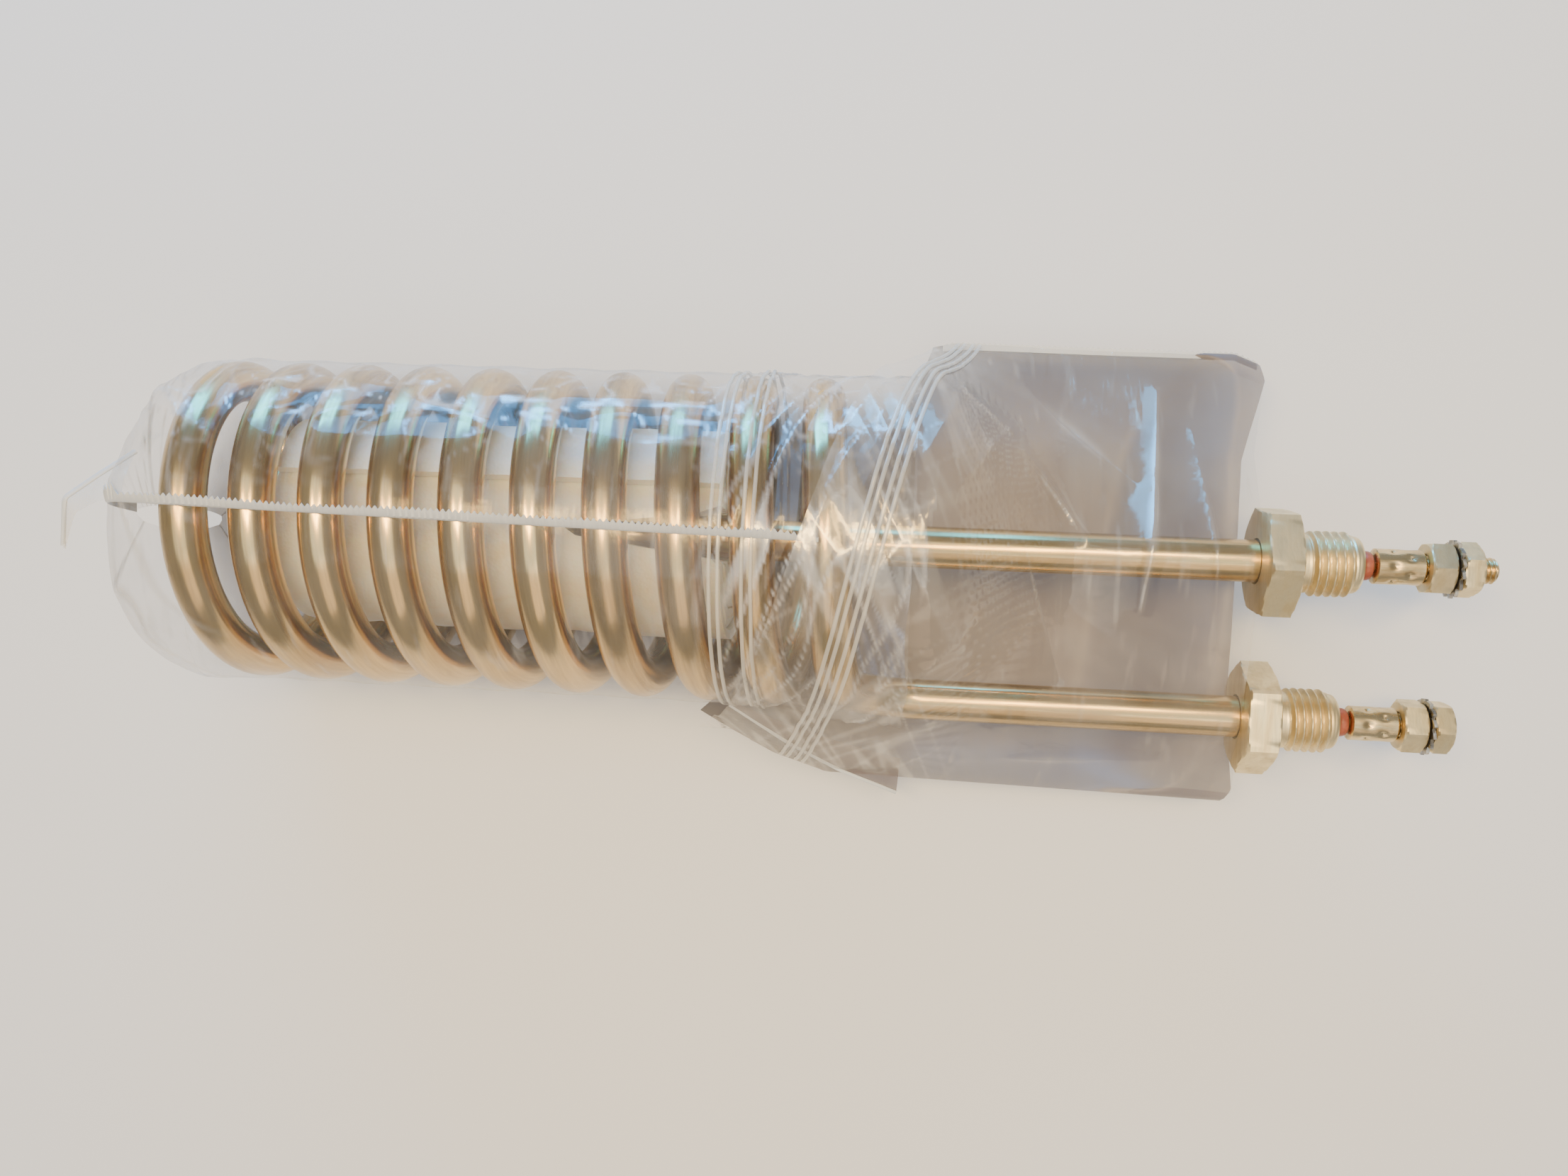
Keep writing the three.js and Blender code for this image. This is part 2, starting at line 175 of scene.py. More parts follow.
# Thin film: cloudiness in patches, and fine whitish stress lines
def hazeGroup():
    tree, given, out = newGroup("filmHaze", {
        "Clear": ("NodeSocketFloat", 0.05), "Cloudy": ("NodeSocketFloat", 0.2),
        "Scratches": ("NodeSocketFloat", 0.3), "Patch Scale": ("NodeSocketFloat", 28.0),
    }, {"Haze": "NodeSocketFloat", "Height": "NodeSocketFloat"})
    place = objectPlace(tree)
    patches = addNode(tree, "ShaderNodeTexNoise", {"Vector": place, "Scale": given["Patch Scale"],
                                                   "Detail": 4.0, "Roughness": 0.55, "Distortion": 0.8})
    cloud = spread(tree, patches.outputs["Fac"], 0.38, 0.68)
    slanted = addNode(tree, "ShaderNodeMapping", {"Vector": place, "Rotation": (0, 0, 0.42),
                                                  "Scale": (1.0, 0.09, 0.3)})
    lines = addNode(tree, "ShaderNodeTexNoise", {"Vector": slanted.outputs[0], "Scale": 420.0,
                                                 "Detail": 2.0, "Roughness": 0.5})
    scratch = mathNode(tree, "MULTIPLY", spread(tree, lines.outputs["Fac"], 0.6, 0.72), given["Scratches"])
    base = mathNode(tree, "MULTIPLY_ADD", cloud, mathNode(tree, "SUBTRACT", given["Cloudy"], given["Clear"]),
                    given["Clear"])
    tree.links.new(mathNode(tree, "ADD", base, scratch, clamp=True), out["Haze"])
    fine = addNode(tree, "ShaderNodeTexNoise", {"Vector": place, "Scale": 240.0, "Detail": 3.0})
    tree.links.new(mathNode(tree, "ADD", fine.outputs["Fac"], lines.outputs["Fac"]), out["Height"])
    return tree


metalGrain, edgeWear, filmHaze = grainGroup(), wearGroup(), hazeGroup()


def newMaterial(name, **plain):
    material = bpy.data.materials.new(name)
    material.use_nodes = True
    tree = material.node_tree
    shader = tree.nodes["Principled BSDF"]
    for label, value in plain.items():
        shader.inputs[label.replace("_", " ")].default_value = value
    return material, tree, shader


def bumpInto(tree, shader, height, strength, distance):
    bump = addNode(tree, "ShaderNodeBump", {"Height": height, "Strength": strength, "Distance": distance})
    tree.links.new(bump.outputs[0], shader.inputs["Normal"])


metals = {    # bright and dull colours, roughness from bright to dull, grain stretch, lines per metre, wear
    "drawnStainless": {"bright": (0.82, 0.58, 0.25, 1), "dull": (0.3, 0.19, 0.08, 1), "rough": (0.14, 0.32),
                       "stretch": (1, 1, 1), "lines": 1500, "stains": 190, "wear": 0.0, "bump": 0.1},
    "brushedNickel": {"bright": (0.92, 0.77, 0.46, 1), "dull": (0.66, 0.52, 0.28, 1), "rough": (0.36, 0.55),
                      "stretch": (1, 0.12, 1), "lines": 1400, "stains": 260, "wear": 0.7, "bump": 0.25},
    "studSteel": {"bright": (0.86, 0.68, 0.38, 1), "dull": (0.4, 0.28, 0.13, 1), "rough": (0.2, 0.42),
                  "stretch": (0.3, 1, 1), "lines": 1900, "stains": 420, "wear": 0.6, "bump": 0.2},
    "darkZinc": {"bright": (0.5, 0.47, 0.41, 1), "dull": (0.13, 0.12, 0.1, 1), "rough": (0.22, 0.45),
                 "stretch": (1, 1, 1), "lines": 1300, "stains": 500, "wear": 1.0, "bump": 0.2},
    "resistanceAlloy": {"bright": (0.6, 0.57, 0.52, 1), "dull": (0.35, 0.33, 0.3, 1), "rough": (0.3, 0.5),
                        "stretch": (1, 1, 1), "lines": 1600, "stains": 300, "wear": 0.0, "bump": 0.1},
}


def metalMaterial(name, drawnAttribute=None):
    look = metals[name]
    material, tree, shader = newMaterial(name, Metallic=1.0)
    if drawnAttribute:
        place = addNode(tree, "ShaderNodeAttribute", attribute_name=drawnAttribute).outputs["Vector"]
    else:
        stretched = {"Vector": objectPlace(tree), "Scale": look["stretch"]}
        place = addNode(tree, "ShaderNodeMapping", stretched).outputs[0]
    grain = fillGroup(tree, metalGrain, {"Vector": place, "Line Scale": look["lines"],
                                         "Stain Scale": look["stains"], "Contrast": 0.5})
    worn = fillGroup(tree, edgeWear, {"Amount": look["wear"], "Break Up": 1100.0}).outputs["Wear"]
    dulled = mathNode(tree, "MULTIPLY_ADD", grain.outputs["Lines"], 0.35,
                      mathNode(tree, "MULTIPLY", grain.outputs["Stains"], 0.65))
    color = mixColor(tree, dulled, look["bright"], look["dull"])
    tree.links.new(mixColor(tree, worn, color, look["bright"]), shader.inputs["Base Color"])
    tree.links.new(spread(tree, dulled, 0, 1, *look["rough"]), shader.inputs["Roughness"])
    bumpInto(tree, shader, grain.outputs["Lines"], look["bump"], 0.00006)
    return material


drawnStainless = metalMaterial("drawnStainless", "drawn")
brushedNickel = metalMaterial("brushedNickel")
studSteel = metalMaterial("studSteel")
darkZinc = metalMaterial("darkZinc")
resistanceAlloy = metalMaterial("resistanceAlloy")


def powderMaterial(name, light, shade, scale, roughness, depth):
    material, tree, shader = newMaterial(name)
    grains = addNode(tree, "ShaderNodeTexNoise", {"Vector": objectPlace(tree), "Scale": scale, "Detail": 6.0})
    tone = spread(tree, grains.outputs["Fac"], 0.3, 0.7)
    tree.links.new(mixColor(tree, tone, light, shade), shader.inputs["Base Color"])
    tree.links.new(spread(tree, tone, 0, 1, *roughness), shader.inputs["Roughness"])
    bumpInto(tree, shader, grains.outputs["Fac"], 0.4, depth)
    return material


packedMagnesia = powderMaterial("packedMagnesia", (0.88, 0.86, 0.8, 1), (0.7, 0.68, 0.62, 1),
                                1800, (0.85, 1), 0.0001)
glazedCeramic = powderMaterial("glazedCeramic", (0.9, 0.88, 0.83, 1), (0.78, 0.75, 0.68, 1),
                               700, (0.25, 0.45), 0.00004)


def siliconeMaterial():
    material, tree, shader = newMaterial("redSilicone", Roughness=0.4, Transmission_Weight=0.3, IOR=1.41)
    clouds = addNode(tree, "ShaderNodeTexNoise", {"Vector": objectPlace(tree), "Scale": 700.0, "Detail": 3.0})
    tone = spread(tree, clouds.outputs["Fac"], 0.35, 0.65)
    color = mixColor(tree, tone, (0.56, 0.16, 0.09, 1), (0.38, 0.09, 0.05, 1))
    tree.links.new(color, shader.inputs["Base Color"])
    bumpInto(tree, shader, clouds.outputs["Fac"], 0.3, 0.0001)
    return material


def foamMaterial():
    material, tree, shader = newMaterial("creamFoam", Sheen_Weight=0.25, Sheen_Roughness=0.5,
                                         Subsurface_Weight=0.25, Subsurface_Scale=0.002)
    place = objectPlace(tree)
    cells = addNode(tree, "ShaderNodeTexVoronoi", {"Vector": place, "Scale": 1500.0})
    folds = addNode(tree, "ShaderNodeTexNoise", {"Vector": place, "Scale": 130.0, "Detail": 4.0,
                                                 "Distortion": 0.7})
    # Bluish white on the loose stretches is a painted reflection of the cool window light; the lower roughness
    # there is the real gloss of those stretches.
    crumpleSheen = addNode(tree, "ShaderNodeAttribute", attribute_name="crumple_sheen").outputs["Fac"]
    tone = spread(tree, folds.outputs["Fac"], 0.35, 0.68)
    warm = mixColor(tree, tone, (0.95, 0.92, 0.78, 1), (0.9, 0.78, 0.56, 1))
    tree.links.new(mixColor(tree, crumpleSheen, warm, (0.86, 0.92, 0.95, 1)), shader.inputs["Base Color"])
    tree.links.new(spread(tree, crumpleSheen, 0, 1, 0.8, 0.28), shader.inputs["Roughness"])
    height = mathNode(tree, "MULTIPLY_ADD", cells.outputs["Distance"], 0.25, folds.outputs["Fac"])
    bumpInto(tree, shader, height, 0.5, 0.0006)
    return material


films = {    # gloss share, haze when clear and cloudy, scratches, haze at glancing angles and on creases
    "clearFilm": {"color": (0.76, 0.68, 0.56, 1), "gloss": 0.45, "clear": 0.07, "cloudy": 0.22,
                  "scratches": 0.14, "edge": 0.6, "creases": 0.4, "rough": (0.12, 0.3)},
    "tightFilm": {"color": (0.74, 0.69, 0.64, 1), "gloss": 0.45, "clear": 0.05, "cloudy": 0.17,
                  "scratches": 0.16, "edge": 0.85, "creases": 0.45, "rough": (0.16, 0.36)},
    # The dark, nearly opaque taupe of the back and under films is painted shade: the clear bag's underside
    # drawn dark where only shade and the ground lie beneath it.
    "shadedBackFilm": {"color": (0.24, 0.19, 0.175, 1), "gloss": 0.1, "clear": 0.72, "cloudy": 0.82,
                 "scratches": 0.05, "edge": 0.3, "creases": 0.2, "rough": (0.3, 0.5)},
    "shadedUnderFilm": {"color": (0.27, 0.23, 0.22, 1), "gloss": 0.1, "clear": 0.66, "cloudy": 0.8,
                  "scratches": 0.1, "edge": 0.4, "creases": 0.3, "rough": (0.25, 0.45)},
    "zipPlastic": {"color": (0.9, 0.86, 0.76, 1), "gloss": 0.2, "clear": 0.34, "cloudy": 0.52,
                   "scratches": 0.15, "edge": 0.5, "creases": 0.0, "rough": (0.15, 0.3)},
    "weldedSeam": {"color": (0.9, 0.93, 0.94, 1), "gloss": 0.05, "clear": 0.85, "cloudy": 1.0,
                   "scratches": 0.1, "edge": 0.3, "creases": 0.0, "rough": (0.25, 0.45)},
}


fadeShare = 0.82    # of the film's cover that goes where its fade is full
# Pale colour on the film's creases: stress whitening, and painted glints of the lamps along the folds.
creaseGlintColor = (0.95, 0.94, 0.9, 1)


def filmMaterial(name):
    look = films[name]
    material, tree, shader = newMaterial(name, Metallic=look["gloss"], IOR=1.5)
    haze = fillGroup(tree, filmHaze, {"Clear": look["clear"], "Cloudy": look["cloudy"],
                                      "Scratches": look["scratches"], "Patch Scale": 30.0})
    facing = addNode(tree, "ShaderNodeLayerWeight", {"Blend": 0.25}).outputs["Facing"]
    glancing = mathNode(tree, "MULTIPLY", mathNode(tree, "POWER", facing, 2.2), look["edge"])
    crease_glint = addNode(tree, "ShaderNodeAttribute", attribute_name="crease_glint").outputs["Fac"]
    hazeAndGlint = mathNode(tree, "MULTIPLY_ADD", crease_glint, look["creases"], haze.outputs["Haze"])
    cover = mathNode(tree, "ADD", hazeAndGlint, glancing, clamp=True)
    faded = addNode(tree, "ShaderNodeAttribute", attribute_name="fade").outputs["Fac"]
    kept = mathNode(tree, "MULTIPLY_ADD", faded, -fadeShare, 1.0)
    tree.links.new(mathNode(tree, "MULTIPLY", cover, kept), shader.inputs["Alpha"])
    shade = [0.8 * value for value in look["color"][:3]] + [1]
    plain = mixColor(tree, haze.outputs["Haze"], look["color"], shade)
    # Painted glints: the crease mask turns the colour pale along the folds.
    pale = mathNode(tree, "MULTIPLY", crease_glint, look["creases"], clamp=True)
    tree.links.new(mixColor(tree, pale, plain, creaseGlintColor), shader.inputs["Base Color"])
    tree.links.new(spread(tree, haze.outputs["Haze"], 0, 1, *look["rough"]), shader.inputs["Roughness"])
    bumpInto(tree, shader, haze.outputs["Height"], 0.25, 0.0004)
    return material


redSilicone, creamFoam = siliconeMaterial(), foamMaterial()
clearFilm, tightFilm, shadedBackFilm = filmMaterial("clearFilm"), filmMaterial("tightFilm"), filmMaterial("shadedBackFilm")
shadedUnderFilm = filmMaterial("shadedUnderFilm")
zipPlastic, weldedSeam = filmMaterial("zipPlastic"), filmMaterial("weldedSeam")
print("materials built")


# ---- mesh helpers

def gridFaces(rows, columns, closeRows, closeColumns):
    faces = []
    for i in range(rows if closeRows else rows - 1):
        for j in range(columns if closeColumns else columns - 1):
            i2, j2 = (i + 1) % rows, (j + 1) % columns
            faces.append((i * columns + j, i * columns + j2, i2 * columns + j2, i2 * columns + j))
    return faces


def gridPiece(name, points, material, body="element", closeRows=False, closeColumns=False,
              sharpAngle=None, replaced=()):
    points = np.asarray(points, float)
    rows, columns = points.shape[:2]
    mesh = bpy.data.meshes.new(name)
    mesh.from_pydata(points.reshape(-1, 3).tolist(), [], gridFaces(rows, columns, closeRows, closeColumns))
    mesh.polygons.foreach_set("use_smooth", [True] * len(mesh.polygons))
    mesh.update()
    if sharpAngle:
        mesh.set_sharp_from_angle(angle=math.radians(sharpAngle))
    mesh.materials.append(material)
    piece = bpy.data.objects.new(name, mesh)
    bpy.context.scene.collection.objects.link(piece)
    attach(piece, body)
    if replaced:
        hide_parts(*replaced)
    return piece


def storeVectors(piece, name, values):
    attribute = piece.data.attributes.new(name, "FLOAT_VECTOR", "POINT")
    attribute.data.foreach_set("vector", np.asarray(values, np.float32).ravel())


def storeValues(piece, name, values):
    attribute = piece.data.attributes.new(name, "FLOAT", "POINT")
    attribute.data.foreach_set("value", np.asarray(values, np.float32).ravel())


def sweepRings(path, radius, segments, phase=0.0):    # rings square to the path, without twist
    path = np.asarray(path, float)
    tangents = np.gradient(path, axis=0)
    tangents /= np.linalg.norm(tangents, axis=1)[:, None]
    side = np.array([0.0, 0.0, 1.0])
    rings = []
    angles = phase + np.arange(segments) * tau / segments
    for point, tangent in zip(path, tangents):
        side = side - tangent * side.dot(tangent)
        side /= np.linalg.norm(side)
        other = np.cross(tangent, side)
        rings.append(point + radius * (np.outer(np.cos(angles), side) + np.outer(np.sin(angles), other)))
    return np.array(rings)


# ---- heating tube

tube = {"radius": 4 * mm, "wall": 0.7 * mm, "coilRadius": 27.5 * mm, "pitch": 12.9 * mm, "turns": 9.52,
        "startTurn": math.radians(-20), "inletBend": 12 * mm, "scroll": 11 * mm, "outletBend": 15 * mm,
        "climb": 0.9 * mm, "seated": 4.9 * mm, "segments": 26, "stepsPerTurn": 72,
        "core": (2.9 * mm, 1.7 * mm), "wire": (1.0 * mm, 0.25 * mm), "wireEnd": 43 * mm, "drawnOut": 0.06}


def tubeRoute():
    radius, start = tube["coilRadius"], tube["startTurn"]
    reach = radius - tube["scroll"]
    scrollAngle = math.acos(math.sqrt(reach ** 2 - tube["scroll"] ** 2) / reach)
    spoke = start - scrollAngle
    plane = tube["radius"]
    end = seatX - startX + tube["seated"]
    route = [(x, 0, 0) for x in np.linspace(end, plane + tube["inletBend"], 60)[:-1]]
    for turn in np.linspace(0, tau / 4, 16):
        out = tube["inletBend"] * (1 - math.cos(turn))
        route.append((plane + tube["inletBend"] * (1 - math.sin(turn)),
                      out * math.cos(spoke), out * math.sin(spoke)))
    for s in np.linspace(0, 1, 24)[1:]:
        turn = spoke - tau / 4 + s * (tau / 4 + scrollAngle)
        route.append((plane + tube["climb"] * s * s, reach * math.cos(start) + tube["scroll"] * math.cos(turn),
                      reach * math.sin(start) + tube["scroll"] * math.sin(turn)))
    coilStart = plane + tube["climb"]
    for s in np.linspace(0, 1, int(tube["turns"] * tube["stepsPerTurn"]))[1:]:
        turn = start + tau * tube["turns"] * s
        route.append((coilStart + tube["pitch"] * tube["turns"] * s,
                      radius * math.cos(turn), radius * math.sin(turn)))
    last = start + tau * tube["turns"]
    coilEnd = coilStart + tube["pitch"] * tube["turns"]
    for turn in np.linspace(0, tau / 4, 20)[1:]:
        along = tube["outletBend"] * math.sin(turn)
        route.append((coilEnd + tube["outletBend"] * (1 - math.cos(turn)),
                      radius * math.cos(last) - along * math.sin(last),
                      radius * math.sin(last) + along * math.cos(last)))
    x, y, z = route[-1]
    route += [(x, y, z) for x in np.linspace(x, end, 40)[1:]]
    return np.array(route)


def tubePiece(name, route, outer, inner, segments, material, slotName, node):
    shell = sweepRings(route, outer, segments)
    closed = np.concatenate([shell, sweepRings(route[::-1], inner, segments)]) if inner else shell
    piece = gridPiece(name, inFrame(closed), material, closeRows=bool(inner), closeColumns=True,
                      sharpAngle=50, replaced=[node])
    lengths = np.concatenate([[0], np.cumsum(np.linalg.norm(np.diff(route, axis=0), axis=1))])
    angles = np.arange(segments) * tau / segments
    drawn = np.zeros(closed.shape)
    for i in range(len(closed)):
        place = lengths[min(i, 2 * len(route) - 1 - i)]
        drawnOut = np.full(segments, place * tube["drawnOut"])
        drawn[i] = np.stack([outer * np.cos(angles), outer * np.sin(angles), drawnOut], 1)
    storeVectors(piece, "drawn", drawn)
    return piece


route = tubeRoute()
tubePiece("heating_tube", route, tube["radius"], tube["radius"] - tube["wall"], tube["segments"],
          drawnStainless, "stainless_sheath", "sheath_tube")
insideEnds = slice(4, -3)
tubePiece("magnesia_filling", route[insideEnds], *tube["core"], 10, packedMagnesia, "magnesia", "magnesia_core")
wireRoute = route[(route[:, 0] < seatX - startX - tube["wireEnd"])]
tubePiece("winding", wireRoute, *tube["wire"], 8, resistanceAlloy, "resistance_alloy", "resistance_wire")
print("tube built")


# ---- screwed terminals, each turned about its own leg; x runs from the seat

terminal = {"hexAcross": 19 * mm, "hexLength": 6.2 * mm, "threadRadius": 6.15 * mm, "threadDepth": 0.85 * mm,
            "threadPitch": 1.5 * mm, "threadStart": 8.2 * mm, "threadEnd": 17.2 * mm, "shankEnd": 18.4 * mm,
            "bore": 2.9 * mm, "sealStart": 18.7 * mm, "sealEnd": 20.6 * mm, "sealRadius": 2.75 * mm,
            "sleeveStart": 21 * mm, "sleeveEnd": 29.8 * mm, "sleeveRadius": 3.3 * mm,
            "studRadius": 2.45 * mm, "studDepth": 0.4 * mm, "studPitch": 0.8 * mm, "nutAcross": 9 * mm,
            "innerNut": (30.1 * mm, 34.5 * mm), "outerNut": (35.7 * mm, 39.3 * mm),
            "washer": (34.8 * mm, 35.4 * mm), "teeth": 14, "toothTip": 5.4 * mm, "toothRoot": 4.55 * mm,
            "toothTwist": 0.55 * mm, "pinBore": 1.35 * mm, "nutBore": 2.7 * mm, "tubeGap": 0.35 * mm,
            "crimps": ((24.0 * mm, 0.0), (26.9 * mm, 0.5)), "crimpWidth": 0.75 * mm, "crimpDepth": 0.42 * mm,
            "pinEnd": 1.4 * mm, "tiny": 0.02 * mm}


def turnedRows(profile, angles):    # profile of (x, radius), the radius a number or one value for each angle
    rows = []
    for x, radius in profile:
        radius = radius + np.zeros(len(angles))
        rows.append(np.stack([np.full(len(angles), x), radius * np.sin(angles), -radius * np.cos(angles)], 1))
    return np.array(rows)


def hexRadius(across, angles, turn):
    return across / 2 / np.cos(np.mod(angles - turn, tau / 6) - tau / 12)


def threadRadius(x, angles, start, end, crest, depth, pitch):
    phase = np.mod((x - start) / pitch - angles / tau, 1)
    height = np.clip(1.25 * (1 - np.abs(2 * phase - 1)) - 0.08, 0, 1)
    runIn, runOut = smoothstep(x, start, start + pitch), 1 - smoothstep(x, end - pitch, end)
    return crest - depth + depth * height * runIn * runOut


def chamferedHex(start, end, across, angles, turn, bore, chamfer):
    full = hexRadius(across, angles, turn)
    face = np.minimum(full, across / 2 * 0.985)
    mid = np.minimum(full, across / 2 * 1.07)
    return [(start, bore), (start, across / 2 * 0.8), (start, face), (start + 0.45 * chamfer, mid),
            (start + chamfer, full), ((start + end) / 2, full), (end - chamfer, full),
            (end - 0.45 * chamfer, mid), (end, face), (end, across / 2 * 0.8)]


def bushingProfile(angles, turn):
    t = terminal
    socket = tube["radius"] + t["tubeGap"]
    rows = chamferedHex(0, t["hexLength"], t["hexAcross"], angles, turn, socket, 0.55 * mm)
    root = t["threadRadius"] - t["threadDepth"]
    rows += [(t["hexLength"], root)]
    for x in np.arange(t["hexLength"] + 0.1 * mm, t["threadEnd"] + 0.05 * mm, 0.1 * mm):
        rows.append((x, threadRadius(x, angles, t["threadStart"], t["threadEnd"], t["threadRadius"],
                                     t["threadDepth"], t["threadPitch"])))
    for turnDown in np.linspace(0, tau / 4, 7):
        rows.append((t["shankEnd"] - 1.1 * mm * (1 - math.sin(turnDown)),
                     root - 1.5 * mm * (1 - math.cos(turnDown))))
    step = tube["seated"] + 0.2 * mm
    return rows + [(t["shankEnd"], t["bore"]), (step, t["bore"]), (step, socket)]


def sealProfile():
    t = terminal
    middle, half = (t["sealStart"] + t["sealEnd"]) / 2, (t["sealEnd"] - t["sealStart"]) / 2
    rows = [(t["sealStart"], t["pinBore"])]
    for turn in np.linspace(-tau / 4, tau / 4, 13):
        rows.append((middle + half * math.sin(turn), t["sealRadius"] - 0.6 * mm * (1 - math.cos(turn))))
    return rows + [(t["sealEnd"], t["pinBore"])]


def studProfile(angles, studEnd):
    t = terminal
    rows = [(t["sleeveStart"], t["pinBore"]), (t["sleeveStart"], t["sleeveRadius"] - 0.35 * mm)]
    for x in np.linspace(t["sleeveStart"] + 0.25 * mm, t["sleeveEnd"] - 0.5 * mm, 44):
        crimp = np.zeros(len(angles))
        for place, offset in t["crimps"]:    # two rows of dimples, six in each
            around = np.cos(6 * angles + tau * offset)
            crimp += np.clip(around, 0, 1) ** 2 * math.exp(-((x - place) / t["crimpWidth"]) ** 2)
        rows.append((x, t["sleeveRadius"] - t["crimpDepth"] * crimp))
    rows += [(t["sleeveEnd"], t["sleeveRadius"] - 0.5 * mm), (t["sleeveEnd"], t["studRadius"] - t["studDepth"])]
    for x in np.arange(t["sleeveEnd"] + 0.08 * mm, studEnd - 0.45 * mm, 0.08 * mm):
        rows.append((x, threadRadius(x, angles, t["sleeveEnd"], studEnd, t["studRadius"], t["studDepth"],
                                     t["studPitch"])))
    rows += [(studEnd - 0.35 * mm, t["studRadius"] - t["studDepth"]), (studEnd, t["studRadius"] - 0.9 * mm),
             (studEnd, t["tiny"]), (t["sleeveEnd"] - t["pinEnd"], t["tiny"]),
             (t["sleeveEnd"] - t["pinEnd"], t["pinBore"])]
    return rows


def washerRows(angles):
    t = terminal
    low, high = t["washer"]
    phase = np.mod(angles * t["teeth"] / tau, 1)
    tooth = np.clip(2.4 - 5.2 * np.abs(phase - 0.5), 0, 1)
    tip = lerp(t["toothRoot"], t["toothTip"], tooth)
    twist = (phase - 0.5) * t["toothTwist"] * tooth
    loops = [(low, t["nutBore"], 0), (low, t["toothRoot"] - 0.2 * mm, 0), (low, tip, 1), (high, tip, 1),
             (high, t["toothRoot"] - 0.2 * mm, 0), (high, t["nutBore"], 0)]
    rows = turnedRows([(0, radius) for _, radius, _ in loops], angles)
    for row, (x, _, twisted) in zip(rows, loops):
        row[:, 0] = x + twist * twisted
    return rows


def placed(rows, axis):
    return rows + np.array([seatX, axis.y, axis.z])


terminalTurns = {"central": (coilAxis, 9, 0, 40), "outer": (outerAxis, 30, 12, 8)}    # axis, turns in degrees
for side, (axis, *turns) in terminalTurns.items():
    bushingTurn, innerTurn, outerTurn = [math.radians(value) for value in turns]
    fine = bushingTurn + np.arange(96) * tau / 96
    coarse = np.arange(48) * tau / 48
    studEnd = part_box(f"{side}_stud")[1].x - seatX
    gridPiece(f"{side}_screwed_bushing", placed(turnedRows(bushingProfile(fine, bushingTurn), fine), axis),
              brushedNickel, closeRows=True, closeColumns=True, sharpAngle=32,
              replaced=[f"{side}_bushing"])
    gridPiece(f"{side}_seal_bead", placed(turnedRows(sealProfile(), coarse), axis), redSilicone,
              closeRows=True, closeColumns=True, sharpAngle=50, replaced=[f"{side}_seal"])
    studRows = turnedRows(studProfile(coarse, studEnd), coarse)
    gridPiece(f"{side}_crimped_stud", placed(studRows, axis), studSteel, closeRows=True,
              closeColumns=True, sharpAngle=42, replaced=[f"{side}_stud"])
    for label, body, turn in (("inner", "element", innerTurn), ("outer", f"{side}_nut", outerTurn)):
        around = turn + np.arange(72) * tau / 72
        low, high = terminal[f"{label}Nut"]
        rows = chamferedHex(low, high, terminal["nutAcross"], around, turn, terminal["nutBore"], 0.5 * mm)
        rows.append((high, terminal["nutBore"]))
        gridPiece(f"{side}_{label}_hex_nut", placed(turnedRows(rows, around), axis), brushedNickel,
                  body=body, closeRows=True, closeColumns=True, sharpAngle=25,
                  replaced=[f"{side}_{label}_nut"])
    toothed = np.arange(terminal["teeth"] * 12) * tau / (terminal["teeth"] * 12)
    gridPiece(f"{side}_tooth_washer", placed(washerRows(toothed), axis), darkZinc,
              body=f"{side}_washer", closeRows=True, closeColumns=True, sharpAngle=40,
              replaced=[f"{side}_star_washer"])
    for node, material in (("insulator", glazedCeramic), ("cold_pin", brushedNickel)):
        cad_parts[f"{side}_{node}"].material_slots[0].material = material
print("terminals built")


# ---- foam roll: one sheet wound up, notched at the end towards the terminals

roll = {"start": 21 * mm, "end": 105 * mm, "bore": 5 * mm, "radius": 20.9 * mm, "layers": 7, "sheet": 1.8 * mm,
        "reach": 22.2 * mm, "notchWidth": 9 * mm, "notchLength": 34 * mm, "perTurn": 72, "along": 60,
        "firstTurn": 1.1, "ragged": 1.1 * mm, "swell": 0.35 * mm, "lumps": 1.3 * mm, "looseDepth": 4 * mm,
        "looseSides": ((math.radians(208), 0.5, 1.0), (math.radians(40), 0.3, 0.7))}    # turn, width, amount


def rollPoint(turn, radius, along):
    y, z = radius * math.cos(turn), radius * math.sin(turn)
    notch = max(0.0, 1 - abs(y) / (roll["notchWidth"] / 2)) if z > 0 else 0.0
    ragged = roll["ragged"] * soft(turn * 1.4, radius * 300, 7.0)
    end = roll["end"] - roll["notchLength"] * notch + ragged
    x = lerp(roll["start"] + ragged, end, along)
    crumple_sheen = crumpleSheenAt(x, turn)
    swell = roll["swell"] * soft(x * 90, math.cos(turn) * 1.6, math.sin(turn) * 1.6)
    lumps = crumple_sheen * roll["lumps"] * (ridged(x * 130, turn * 2.2, 3.0) - 0.3)
    out = min((radius + swell + lumps) / radius, roll["reach"] / radius)
    return (x, y * out, z * out)


# This mask both lumps the roll's shape and paints it bluish white, a painted reflection of the cool window
# light.
def crumpleSheenAt(x, turn):    # the loose, shiny stretches of the roll, low on its right and high on its left
    near = sum(amount * math.exp(-(math.remainder(turn - place, tau) / width) ** 2)
               for place, width, amount in roll["looseSides"])
    return max(0.0, min(1.0, near * (0.75 + 1.6 * soft(x * 75, turn * 2, 1.0))))


